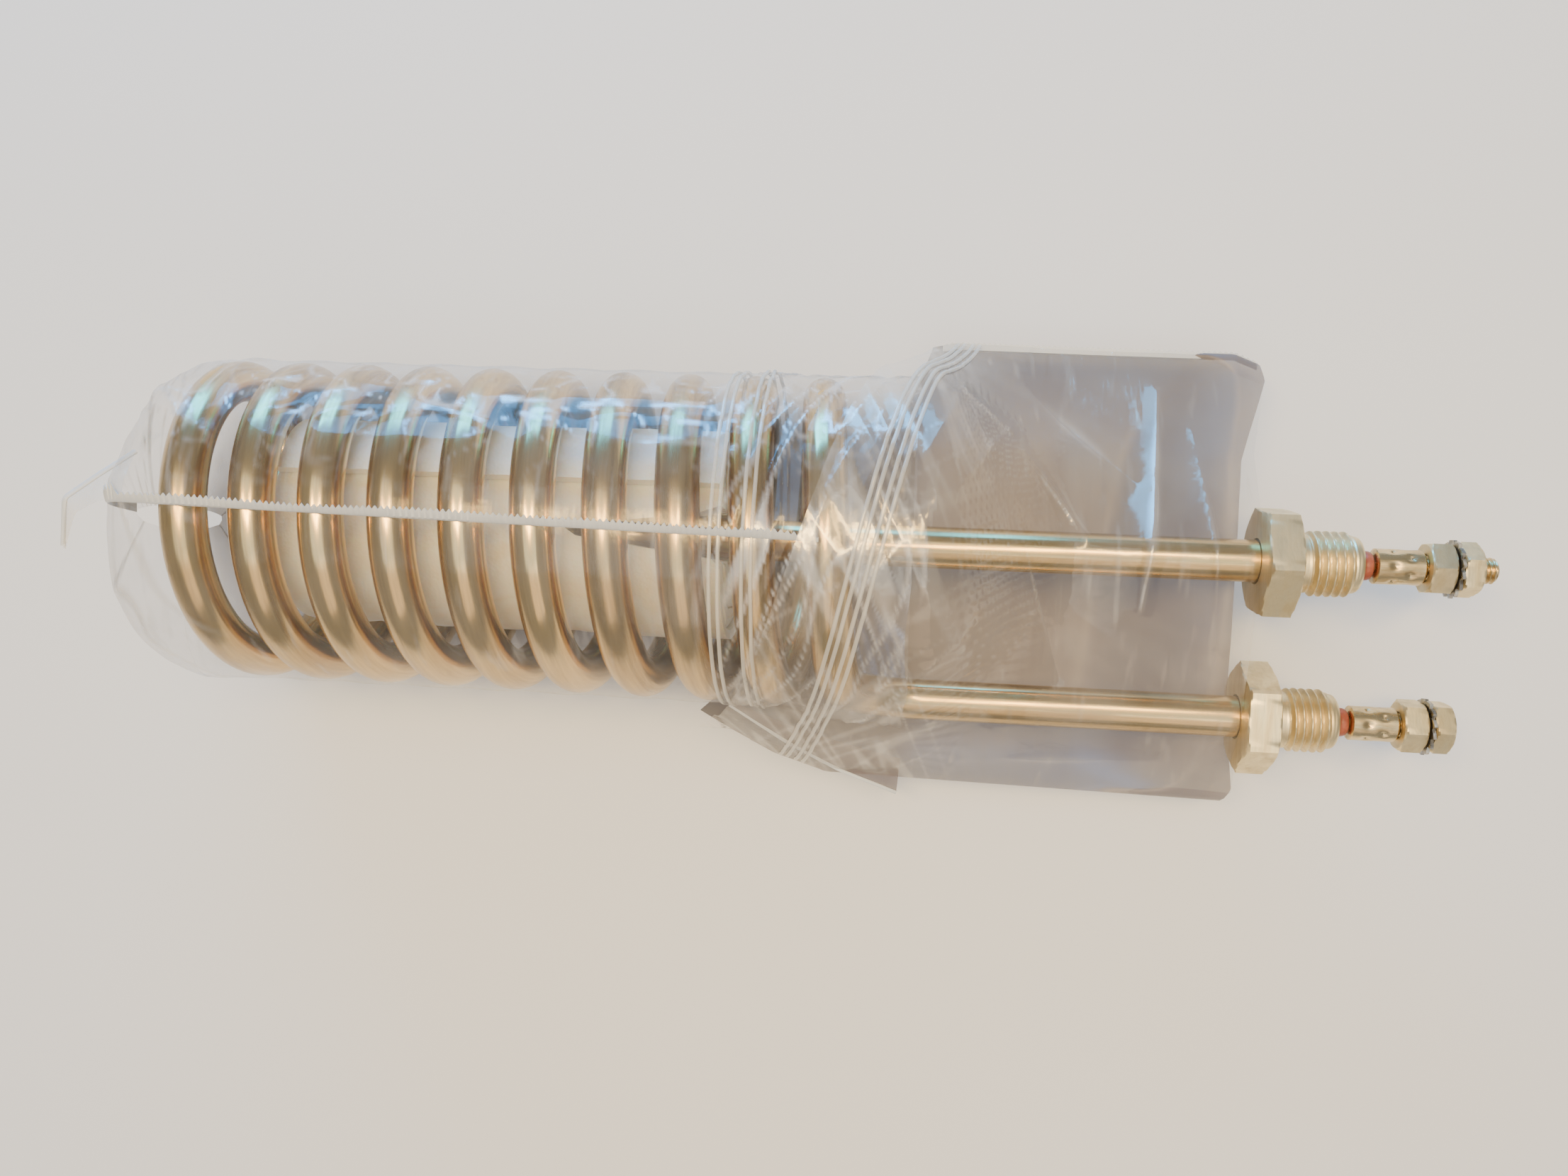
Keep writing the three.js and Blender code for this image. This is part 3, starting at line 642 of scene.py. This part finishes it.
def foamRoll():
    steps = roll["layers"] * roll["perTurn"]
    innermost = roll["bore"] + roll["sheet"]
    outward = [(tau * roll["layers"] * i / steps + roll["firstTurn"],
                lerp(innermost, roll["radius"], i / steps))
               for i in range(steps + 1)]
    loop = outward + [(turn, radius - roll["sheet"]) for turn, radius in reversed(outward)]
    alongs = np.linspace(0, 1, roll["along"])
    points = [[rollPoint(turn, radius, along) for turn, radius in loop] for along in alongs]
    piece = gridPiece("foam_sheet_roll", inFrame(points), creamFoam, closeColumns=True,
                      sharpAngle=60, replaced=["foam_roll"])
    # The same mask goes into the roll's colour, where it paints the window's reflection.
    crumples = [[crumpleSheenAt(point[0], turn) if radius > roll["radius"] - roll["looseDepth"] else 0.0
                 for point, (turn, radius) in zip(row, loop)] for row in points]
    storeValues(piece, "crumple_sheen", crumples)
    closeEnds(piece, len(loop), len(points))
    return piece


def closeEnds(piece, columns, rows):    # strips between the sheet's two faces, at both ends of the roll
    mesh = piece.data
    edges = []
    for first in (0, (rows - 1) * columns):
        for j in range(columns // 2 - 1):
            quad = (first + j, first + j + 1, first + columns - 2 - j, first + columns - 1 - j)
            edges.append(quad if first == 0 else quad[::-1])
    old = [tuple(polygon.vertices) for polygon in mesh.polygons]
    points = [tuple(vertex.co) for vertex in mesh.vertices]
    values = [value.value for value in mesh.attributes["crumple_sheen"].data]
    mesh.clear_geometry()
    mesh.from_pydata(points, [], old + edges)
    mesh.polygons.foreach_set("use_smooth", [True] * len(mesh.polygons))
    mesh.set_sharp_from_angle(angle=math.radians(60))
    storeValues(piece, "crumple_sheen", values)


foamRoll()
print("foam roll built")


# ---- coil bag

coilBag = {"radius": 32.0 * mm, "end": -8.6 * mm, "foldHeight": 0.42, "mouth": 140.3 * mm, "zip": 105.5 * mm,
           "bulge": 4.0 * mm, "crest": 8.84 * mm, "along": 300, "around": 220, "closeFrom": 2 * mm,
           "sag": 0.28 * mm, "endFolds": 1.1 * mm, "crumples": 0.5 * mm, "streaks": 0.75 * mm,
           "waves": 0.7 * mm, "mouthWave": 1.6 * mm, "mouthTrim": 0.6 * mm, "gathered": math.radians(42),
           "gatherWidth": 0.42}


def coilBagFolds(x, angle):
    tight = smoothstep(x, 0.004, 0.014) * (1 - smoothstep(x, 0.1, 0.112))
    sag = -coilBag["sag"] * tight * (0.5 - 0.5 * math.cos(tau * (x - coilBag["crest"]) / tube["pitch"]))
    nearEnd = 1 - smoothstep(x, -0.004, 0.022)
    endFolds = nearEnd * coilBag["endFolds"] * (ridged(x * 60, angle * 1.3, 2.0) - 0.55)
    upper = math.exp(-((angle - coilBag["gathered"]) / coilBag["gatherWidth"]) ** 2)
    crumples = upper * coilBag["crumples"] * (ridged(x * 85, angle * 5.5, 5.0) - 0.5)
    loose = smoothstep(x, 0.1, 0.118)
    streaks = loose * coilBag["streaks"] * (ridged((x + angle * 0.011) * 240, angle * 1.2, 9.0) - 0.5)
    waves = loose * coilBag["waves"] * soft(x * 60, angle * 2.2, 4.0)
    return sag + endFolds + crumples + streaks + waves


def coilBagPoint(x, angle, lift=0.0):
    toward = math.cos(angle)
    closing = min(max((coilBag["closeFrom"] - x) / (coilBag["closeFrom"] - coilBag["end"]), 0), 0.998)
    squareness = lerp(1.7, 4.2, (1 - toward) / 2)
    opened = math.sqrt(1 - closing ** squareness)
    fromLeg = math.remainder(angle - math.atan2(outerOffset[1], outerOffset[0]), tau)
    bulge = coilBag["bulge"] * float(smoothstep(x, 0.115, 0.127)) * math.exp(-((fromLeg / 0.4) ** 2))
    radius = coilBag["radius"] + bulge + lift + coilBagFolds(x, angle)
    y = radius * toward * opened
    z = radius * math.sin(angle) * lerp(coilBag["foldHeight"], 1, opened)
    return (x, y, max(z, 0.35 * mm - coilAxis.z))


def coilBagCreaseGlint(x, angle):    # pale lines of the gathered and the loose film: stress whitening, and painted glints of the lamps along the creases
    upper = math.exp(-((angle - coilBag["gathered"]) / coilBag["gatherWidth"]) ** 2)
    end = 1 - float(smoothstep(x, -0.002, 0.02))
    loose = float(smoothstep(x, 0.098, 0.116))
    fine = float(smoothstep(ridged(x * 120, angle * 6.5, 5.0), 0.8, 0.98)) * upper
    folds = float(smoothstep(ridged(x * 60, angle * 1.3, 2.0), 0.84, 0.99)) * end
    streaks = float(smoothstep(ridged((x + angle * 0.011) * 240, angle * 1.2, 9.0), 0.72, 0.96)) * loose
    return min(1.0, fine + folds + streaks)


def coilBagShell():
    xs = coilBag["end"] + (coilBag["mouth"] - coilBag["end"]) * np.linspace(0, 1, coilBag["along"]) ** 1.12
    halves = {"coil_bag_front": (0, tau / 2, tightFilm), "coil_bag_back": (-tau / 2, 0, shadedUnderFilm)}
    for name, (first, last, material) in halves.items():
        angles = np.linspace(first, last, coilBag["around"] // 2)
        waves = [coilBag["mouthWave"] * soft(math.cos(a) * 1.7, math.sin(a) * 1.7, 12.0) for a in angles]
        points = []
        for x in xs:
            share = float(smoothstep(x, 0.12, coilBag["mouth"]))
            points.append([coilBagPoint(x + wave * share - coilBag["mouthTrim"] * share, a)
                           for a, wave in zip(angles, waves)])
        piece = gridPiece(name, inFrame(points), material, replaced=[f"{name}_film"])
        storeValues(piece, "crease_glint", [[coilBagCreaseGlint(x, a) for a in angles] for x in xs])
        if last == 0:
            # The back half's painted shade is darkest at the bottom and fades out towards the sides.
            storeValues(piece, "fade", np.tile(1 - smoothstep(-np.sin(angles), 0.05, 0.9), (len(xs), 1)))


def ribbon(name, line, width, height, material, outward, replaced=()):    # flat rib along a line
    line = np.asarray(line, float)
    tangents = np.gradient(line, axis=0)
    tangents /= np.linalg.norm(tangents, axis=1)[:, None]
    outward = np.asarray(outward, float)
    across = np.cross(outward, tangents)
    across /= np.linalg.norm(across, axis=1)[:, None]
    outward = np.cross(tangents, across)
    shape = [(-0.5, 0.0), (-0.42, 0.8), (-0.2, 1.0), (0.2, 1.0), (0.42, 0.8), (0.5, 0.0)]
    points = np.stack([line + across * width * a + outward * height * b for a, b in shape], 1)
    return gridPiece(name, inFrame(points), material, closeColumns=True, sharpAngle=60,
                     replaced=replaced)


def outwardOf(line):    # away from the coil's axis
    out = np.array(line, float)
    out[:, 0] = 0
    return out / np.linalg.norm(out, axis=1)[:, None]


coilZip = {"ribs": (0.0, 1.5 * mm, 5.6 * mm, 7.2 * mm), "width": 0.7 * mm, "height": 0.45 * mm}


def coilBagZip():
    angles = np.linspace(-tau / 4 + 0.02, 3 * tau / 4 - 0.02, 150)
    nodes = (["coil_bag_front_zip"], ["coil_bag_back_zip"], [], [])
    for number, (offset, replaced) in enumerate(zip(coilZip["ribs"], nodes)):
        line = [coilBagPoint(coilBag["zip"] + offset, a, 0.02 * mm) for a in angles]
        ribbon(f"coil_zip_rib_{number + 1}", line, coilZip["width"], coilZip["height"], zipPlastic,
               outwardOf(line), replaced)


seam = {"start": -9 * mm, "end": 124 * mm, "height": 1.8 * mm, "tooth": 1.1 * mm, "steps": 640}


def serrated(place, depth):    # sawtooth along a welded edge
    return depth * abs(2 * math.fmod(place / seam["tooth"], 1) - 1)


def coilBagSeam():    # welded fin along the top of the bag, with a toothed edge
    rows = []
    for x in np.linspace(seam["start"], seam["end"], seam["steps"]):
        side = lerp(1.4 * mm, -0.6 * mm, (x - seam["start"]) / (seam["end"] - seam["start"]))
        angle = math.acos(side / coilBag["radius"])
        lean = 0.5 * mm * soft(x * 40, 0.5)
        _, y, z = coilBagPoint(x, angle)
        fade = (smoothstep(x, seam["start"], seam["start"] + 6 * mm)
                * (1 - smoothstep(x, seam["end"] - 9 * mm, seam["end"])))
        height = lerp(0.3 * mm, seam["height"], float(fade))
        wide = height * 0.6 + serrated(x, 0.75 * mm)
        rows.append([(x, y - 0.1 * mm, z), (x, y + 0.1 * wide, z + 0.45 * height),
                     (x, y + lean + wide, z + 0.8 * height),
                     (x, y + lean + wide + 0.04 * mm, z + 0.8 * height - 0.12 * mm),
                     (x, y + 0.3 * wide, z + 0.3 * height), (x, y + 0.25 * mm, z)])
    gridPiece("coil_bag_seam", inFrame(rows), weldedSeam, closeColumns=True, sharpAngle=50)


ear = {    # edges of the bag's folded corner, in millimetres
       "outer": [(-3.5, 11, 23), (-8.2, 6.2, 26.5), (-12.6, 1.6, 29.3), (-13.2, -7.0, 28.4)],
       "inner": [(-2.5, 2.5, 28.4), (-6.4, 1.1, 29.8), (-9.8, -1.0, 30.2), (-13.0, -7.6, 28.2)]}


def smoothLine(corners, count, scale=mm):    # curve through a few points
    corners = np.asarray(corners, float) * scale
    knots = np.linspace(0, 1, len(corners))
    places = np.linspace(0, 1, count)
    straight = np.stack([np.interp(places, knots, corners[:, k]) for k in range(3)], 1)
    kernel = np.array([1, 2, 3, 2, 1]) / 9
    padded = np.concatenate([np.repeat(straight[:1], 2, 0), straight, np.repeat(straight[-1:], 2, 0)])
    rounded = np.stack([np.convolve(padded[:, k], kernel, "valid") for k in range(3)], 1)
    rounded[0], rounded[-1] = straight[0], straight[-1]
    return rounded


def flap(name, lineA, lineB, columns, puff, material, seed):    # film patch between two lines
    rows = []
    for a, b in zip(lineA, lineB):
        row = []
        for v in np.linspace(0, 1, columns):
            point = lerp(a, b, v)
            swell = soft(point[0] * 160, point[1] * 160, seed) + math.sin(v * math.pi)
            row.append(point + np.array([0, 0, puff * swell]))
        rows.append(row)
    return gridPiece(name, inFrame(rows), material)


coilBagShell()
coilBagZip()
coilBagSeam()
outerEdge, innerEdge = smoothLine(ear["outer"], 60), smoothLine(ear["inner"], 60)
flap("coil_bag_ear", outerEdge, innerEdge, 14, 0.4 * mm, zipPlastic, 21.0)
ribbon("coil_bag_ear_edge", outerEdge + np.array([0, 0, 0.1 * mm]), 1.0 * mm, 0.2 * mm, weldedSeam,
       np.tile([0, 0, 1.0], (60, 1)))
print("coil bag built")


# ---- leg bag, draped over the coil's end, both legs and the mouth of the coil bag

legBag = {"edgeHeight": 14 * mm, "mouth": (142.5 * mm, 98.5 * mm),
          "upperEdge": ((140, 41.5), (147, 43), (175, 42.6), (203, 42.4), (209, 40)),
          "lowerEdge": ((98, -34.5), (113.5, -43.6), (124, -47.4), (208, -48.6)),
          "end": ((0, 207.6), (0.04, 208.6), (0.24, 204.2), (0.8, 203.6), (0.97, 206), (1, 204.5)),
          "coilReach": 34.6 * mm, "legReach": 5.3 * mm, "bendReach": 7.9 * mm, "streaks": 0.55 * mm,
          "slack": 0.9 * mm, "dents": 0.5 * mm, "backRipple": 0.5 * mm,
          "along": 190, "across": 210, "zip": (0.085, 0.15), "floorGap": 0.3 * mm, "endRise": 18.5 * mm}


def throughPoints(x, corners):
    xs, values = zip(*corners)
    return float(np.interp(x, xs, values))


def edgeY(x, v):    # place of the welded edges across the bag
    return throughPoints(x / mm, legBag["lowerEdge" if v else "upperEdge"]) * mm


def edgeZ(x):    # height of those edges from the axis: the bag rises where it closes round the coil
    return lerp(-9 * mm, legBag["edgeHeight"] - coilAxis.z, float(smoothstep(x, 96 * mm, 126 * mm)))


def hullOverContents(x):
    shrink = float(smoothstep(x, 141.5 * mm, 170.5 * mm))
    circles = [((0, 0), lerp(legBag["coilReach"], legBag["legReach"], shrink)),
               (tuple(outerOffset), lerp(legBag["bendReach"], legBag["legReach"], shrink))]
    points = [(edgeY(x, 0), legBag["edgeHeight"] - coilAxis.z), (edgeY(x, 1), edgeZ(x))]
    for (y, z), radius in circles:
        points += [(y + radius * math.cos(a), z + radius * math.sin(a)) for a in np.linspace(0, math.pi, 49)]
    points.sort(reverse=True)
    hull = []
    for point in points:
        while len(hull) > 1:
            (ay, az), (by, bz) = hull[-2:]
            if (by - ay) * (point[1] - az) - (bz - az) * (point[0] - ay) > 0:
                break
            hull.pop()
        hull.append(point)
    return np.array(hull)


def alongHull(hull, fractions):
    lengths = np.concatenate([[0], np.cumsum(np.linalg.norm(np.diff(hull, axis=0), axis=1))])
    places = np.asarray(fractions) * lengths[-1]
    return np.stack([np.interp(places, lengths, hull[:, 0]), np.interp(places, lengths, hull[:, 1])], 1)


def legBagX(u, v):
    return lerp(lerp(legBag["mouth"][0], legBag["mouth"][1], v), throughPoints(v, legBag["end"]) * mm, u)


pleats = {    # creases of the leg bag: from and to (x, y) from the coil's end and axis, width, height, in mm
    "standing_fold": ((187, 33), (182.5, -10), 4.2, 1.9), "long_slant": ((157, 8), (169, -24), 2.2, -1.3),
    "dart_high": ((148, 28), (157, 22), 2.2, 1.4), "dart_low": ((157, 22), (146, 8), 2.0, 1.2),
    "dart_left": ((141, 14), (148, 28), 2.0, 1.0), "knee": ((139, -26), (152, -12), 2.4, 1.2),
    "low_fan": ((118, -43), (141, -34), 2.6, 1.3), "edge_fold": ((193, 25), (197, -16), 3.0, 1.2),
    "bright_dart": ((160, 18), (172, 3), 1.8, 1.6), "lower_ripple": ((150, -42), (190, -40), 4.5, 1.3),
    "slack": ((160, 34), (182, 14), 6.0, -1.4),
}


def pleatAt(x, y):
    total = 0.0
    for (x1, y1), (x2, y2), width, height in pleats.values():
        dx, dy = x2 - x1, y2 - y1
        t = ((x - x1) * dx + (y - y1) * dy) / (dx * dx + dy * dy)
        inside = min(max(t, 0.0), 1.0)
        away = math.hypot(x - x1 - dx * inside, y - y1 - dy * inside) / width
        total += height * math.exp(-1.8 * away) * (0.35 + 0.65 * math.sin(math.pi * min(max(t, 0.12), 0.88)))
    return total * mm


def legBagFolds(x, y, v):
    held = math.sin(math.pi * min(max(v, 0), 1)) ** 0.5
    overCoil = 1 - float(smoothstep(x, 128 * mm, 150 * mm))
    slanted = (x * 0.92 + y * 0.39)
    streaks = overCoil * legBag["streaks"] * (ridged(slanted * 260, y * 22, 31.0) - 0.5)
    dents = legBag["dents"] * (ridged(x * 32, y * 26, 35.0) - 0.6)
    slack = (1 - overCoil) * (legBag["slack"] * soft(x * 38, y * 38, 33.0) + dents)
    return held * (streaks + slack + pleatAt(x / mm, y / mm) * (1 - 0.6 * overCoil))


def legBagRows(us, vs, lift=0.0):
    rows = []
    for u in us:
        row = []
        for v in vs:
            x = legBagX(u, v)
            (y, z), (y2, z2) = alongHull(hullCached(x), [v, min(v + 0.004, 1.0) if v < 0.996 else v - 0.004])
            side = np.array([y2 - y, z2 - z]) * (1 if v < 0.996 else -1)
            out = np.array([side[1], -side[0]]) / (np.linalg.norm(side) or 1)
            out = out if out[1] > 0 else -out
            y, z = np.array([y, z]) + out * (legBagFolds(x, y, v) + lift)
            row.append((x, y, z))
        rows.append(row)
    return np.array(rows)


hulls = {}


def hullCached(x):
    key = round(x / (0.5 * mm))
    if key not in hulls:
        hulls[key] = hullOverContents(key * 0.5 * mm)
    return hulls[key]


# Pale lines on the leg bag's creases and pleats: stress whitening, and painted glints of the lamps along the
# folds.
def legBagCreaseGlint(x, y):
    overCoil = 1 - float(smoothstep(x, 136 * mm, 158 * mm))
    slanted = (x * 0.92 + y * 0.39)
    streaks = float(smoothstep(ridged(slanted * 260, y * 22, 31.0), 0.6, 0.95)) * overCoil
    fans = float(smoothstep(ridged((x * 0.5 - y * 0.86) * 150, x * 20, 37.0), 0.8, 0.98)) * overCoil
    folds = float(smoothstep(abs(pleatAt(x / mm, y / mm)), 0.75 * mm, 1.5 * mm))
    return min(1.0, 0.5 * streaks + 0.35 * fans + 0.75 * folds)


def legBagFront():
    us = np.linspace(0, 1, legBag["along"])
    vs = np.linspace(0, 1, legBag["across"])
    points = legBagRows(us, vs)
    piece = gridPiece("leg_bag_front", inFrame(points), clearFilm,
                      replaced=["leg_bag_front_film"])
    storeValues(piece, "crease_glint", [[legBagCreaseGlint(x, y) for x, y, _ in row] for row in points])


# The leg bag's underside on the floor, in the dark film that paints the shade beneath the bag.
def legBagBack():
    rows = []
    for u in np.linspace(0, 1, 90):
        row = []
        for v in np.linspace(0, 1, 120):
            x = legBagX(u, v)
            y = lerp(edgeY(x, 0), edgeY(x, 1), v)
            top = (edgeZ(x) if v > 0.5 else legBag["edgeHeight"] - coilAxis.z) + coilAxis.z - 0.6 * mm
            rise = lerp(top * abs(2 * v - 1) ** 6, legBag["endRise"], float(smoothstep(u, 0.7, 1)))
            rise = min(rise, lerp(top, legBag["endRise"], math.sin(math.pi * v) ** 0.3))
            ripple = legBag["backRipple"] * (1 + soft(u * 7, v * 9, 41.0)) * math.sin(math.pi * v)
            row.append((x, y, rise + ripple + legBag["floorGap"] - coilAxis.z))
        rows.append(row)
    gridPiece("leg_bag_back", inFrame(rows), shadedBackFilm, replaced=["leg_bag_back_film"])


legZip = {"ribs": (0.0, 1.3 * mm, 3.0 * mm, 4.4 * mm), "width": 0.75 * mm, "height": 0.5 * mm}


def legBagZip():
    vs = np.linspace(0.012, 0.988, 160)
    for number, offset in enumerate(legZip["ribs"]):
        line = []
        for v in vs:
            length = legBagX(1, v) - legBagX(0, v)
            u = lerp(*legBag["zip"], v) + offset / length
            line.append(legBagRows([u], [v], 0.02 * mm)[0][0])
        line = np.array(line)
        ribbon(f"leg_zip_rib_{number + 1}", line, legZip["width"], legZip["height"], zipPlastic,
               outwardOf(line), ["leg_bag_front_zip"] if number == 0 else [])


def legBagSeam():    # welded side of the bag, with a toothed edge
    rows = []
    for u in np.linspace(0.03, 1, 420):
        x, y, z = legBagRows([u], [0.0])[0][0]
        tooth = serrated(x, 0.35 * mm)
        rows.append([(x, y - 1.5 * mm, z - 0.15 * mm), (x, y - 1.4 * mm, z + 0.3 * mm),
                     (x, y - 0.15 * mm + tooth, z + 0.3 * mm),
                     (x, y - 0.1 * mm + tooth, z - 0.1 * mm)])
    gridPiece("leg_bag_seam", inFrame(rows), weldedSeam, closeColumns=True, sharpAngle=50)


corner = {    # edges of the coil bag's corner under the leg bag, in millimetres
          "upper": [(104, -31.5, -4), (116, -36.5, -9), (128, -40.5, -14), (139.5, -43.5, -17)],
          "lower": [(105, -33, -6), (116, -40.5, -12), (127, -46.5, -17), (139, -51, -20)]}

legBagFront()
legBagBack()
legBagZip()
legBagSeam()
upperEdge, lowerEdge = smoothLine(corner["upper"], 60), smoothLine(corner["lower"], 60)
# This corner lies under the leg bag and takes the same dark film of painted shade.
flap("coil_bag_corner", upperEdge, lowerEdge, 12, 0.25 * mm, shadedBackFilm, 51.0)
ribbon("coil_bag_corner_edge", lowerEdge, 0.8 * mm, 0.25 * mm, weldedSeam,
       np.tile([0, 0, 1.0], (60, 1)))
print("leg bag built")


# ---- floor, light and camera

studio = {"floorHalf": 3.0, "floorColor": (0.95, 0.945, 0.935, 1), "worldColor": (0.8, 0.83, 0.88, 1),
          "worldStrength": 0.4}
lamps = {    # place relative to the object's middle, size, watts, colour; each points at the object's middle
    "overheadLeft": ((-0.12, 0.06, 0.62), (0.08, 0.3), 2.3, (1.0, 0.66, 0.22)),
    "overheadRight": ((0.1, 0.09, 0.66), (0.07, 0.28), 2.3, (1.0, 0.68, 0.24)),
    "coolWindow": ((-0.14, 0.6, 0.1), (0.5, 0.26), 6.5, (0.05, 0.42, 1.0)),
    "softFill": ((0.1, -0.5, 0.55), (0.6, 0.5), 1.2, (1.0, 0.8, 0.6)),
    "highFill": ((0.0, 0.0, 1.1), (1.2, 1.2), 7.0, (0.82, 0.92, 1.0)),
}
view = {"place": (21.9 * mm, -3.0 * mm, 266.8 * mm), "turn": (-0.506, 5.553, 2.567), "lens": 27.73}


def floorMaterial():
    material, tree, shader = newMaterial("paleFloor", Roughness=0.75)
    mottle = addNode(tree, "ShaderNodeTexNoise", {"Vector": objectPlace(tree), "Scale": 3.0, "Detail": 3.0})
    tone = spread(tree, mottle.outputs["Fac"], 0.3, 0.7)
    shade = [0.985 * value for value in studio["floorColor"][:3]] + [1]
    tree.links.new(mixColor(tree, tone, studio["floorColor"], shade), shader.inputs["Base Color"])
    return material


def buildFloor():
    mesh = bpy.data.meshes.new("floor")
    half = studio["floorHalf"]
    corners = [(-half, -half, 0), (half, -half, 0), (half, half, 0), (-half, half, 0)]
    mesh.from_pydata(corners, [], [(0, 1, 2, 3)])
    mesh.materials.append(floorMaterial())
    floor = bpy.data.objects.new("floor", mesh)
    bpy.context.scene.collection.objects.link(floor)


def buildLamps():
    low, high = (Vector(corner) for corner in cadBox)
    middle = (low + high) / 2
    for name, (place, size, power, color) in lamps.items():
        light = bpy.data.lights.new(name, "AREA")
        light.shape = "RECTANGLE"
        light.size, light.size_y = size
        light.energy, light.color = power, color
        lamp = bpy.data.objects.new(name, light)
        lamp.location = middle + Vector(place)
        lamp.rotation_euler = (middle - lamp.location).to_track_quat("-Z", "Y").to_euler()
        bpy.context.scene.collection.objects.link(lamp)
    world = bpy.data.worlds.new("studio")
    world.use_nodes = True
    background = world.node_tree.nodes["Background"]
    background.inputs["Color"].default_value = studio["worldColor"]
    background.inputs["Strength"].default_value = studio["worldStrength"]
    bpy.context.scene.world = world


def buildCamera():
    data = bpy.data.cameras.new("camera")
    data.lens = view["lens"]
    data.clip_start = 0.01
    camera = bpy.data.objects.new("camera", data)
    camera.location = view["place"]
    camera.rotation_euler = [math.radians(value) for value in view["turn"]]
    bpy.context.scene.collection.objects.link(camera)
    bpy.context.scene.camera = camera


buildFloor()
buildLamps()
buildCamera()
print("studio built")
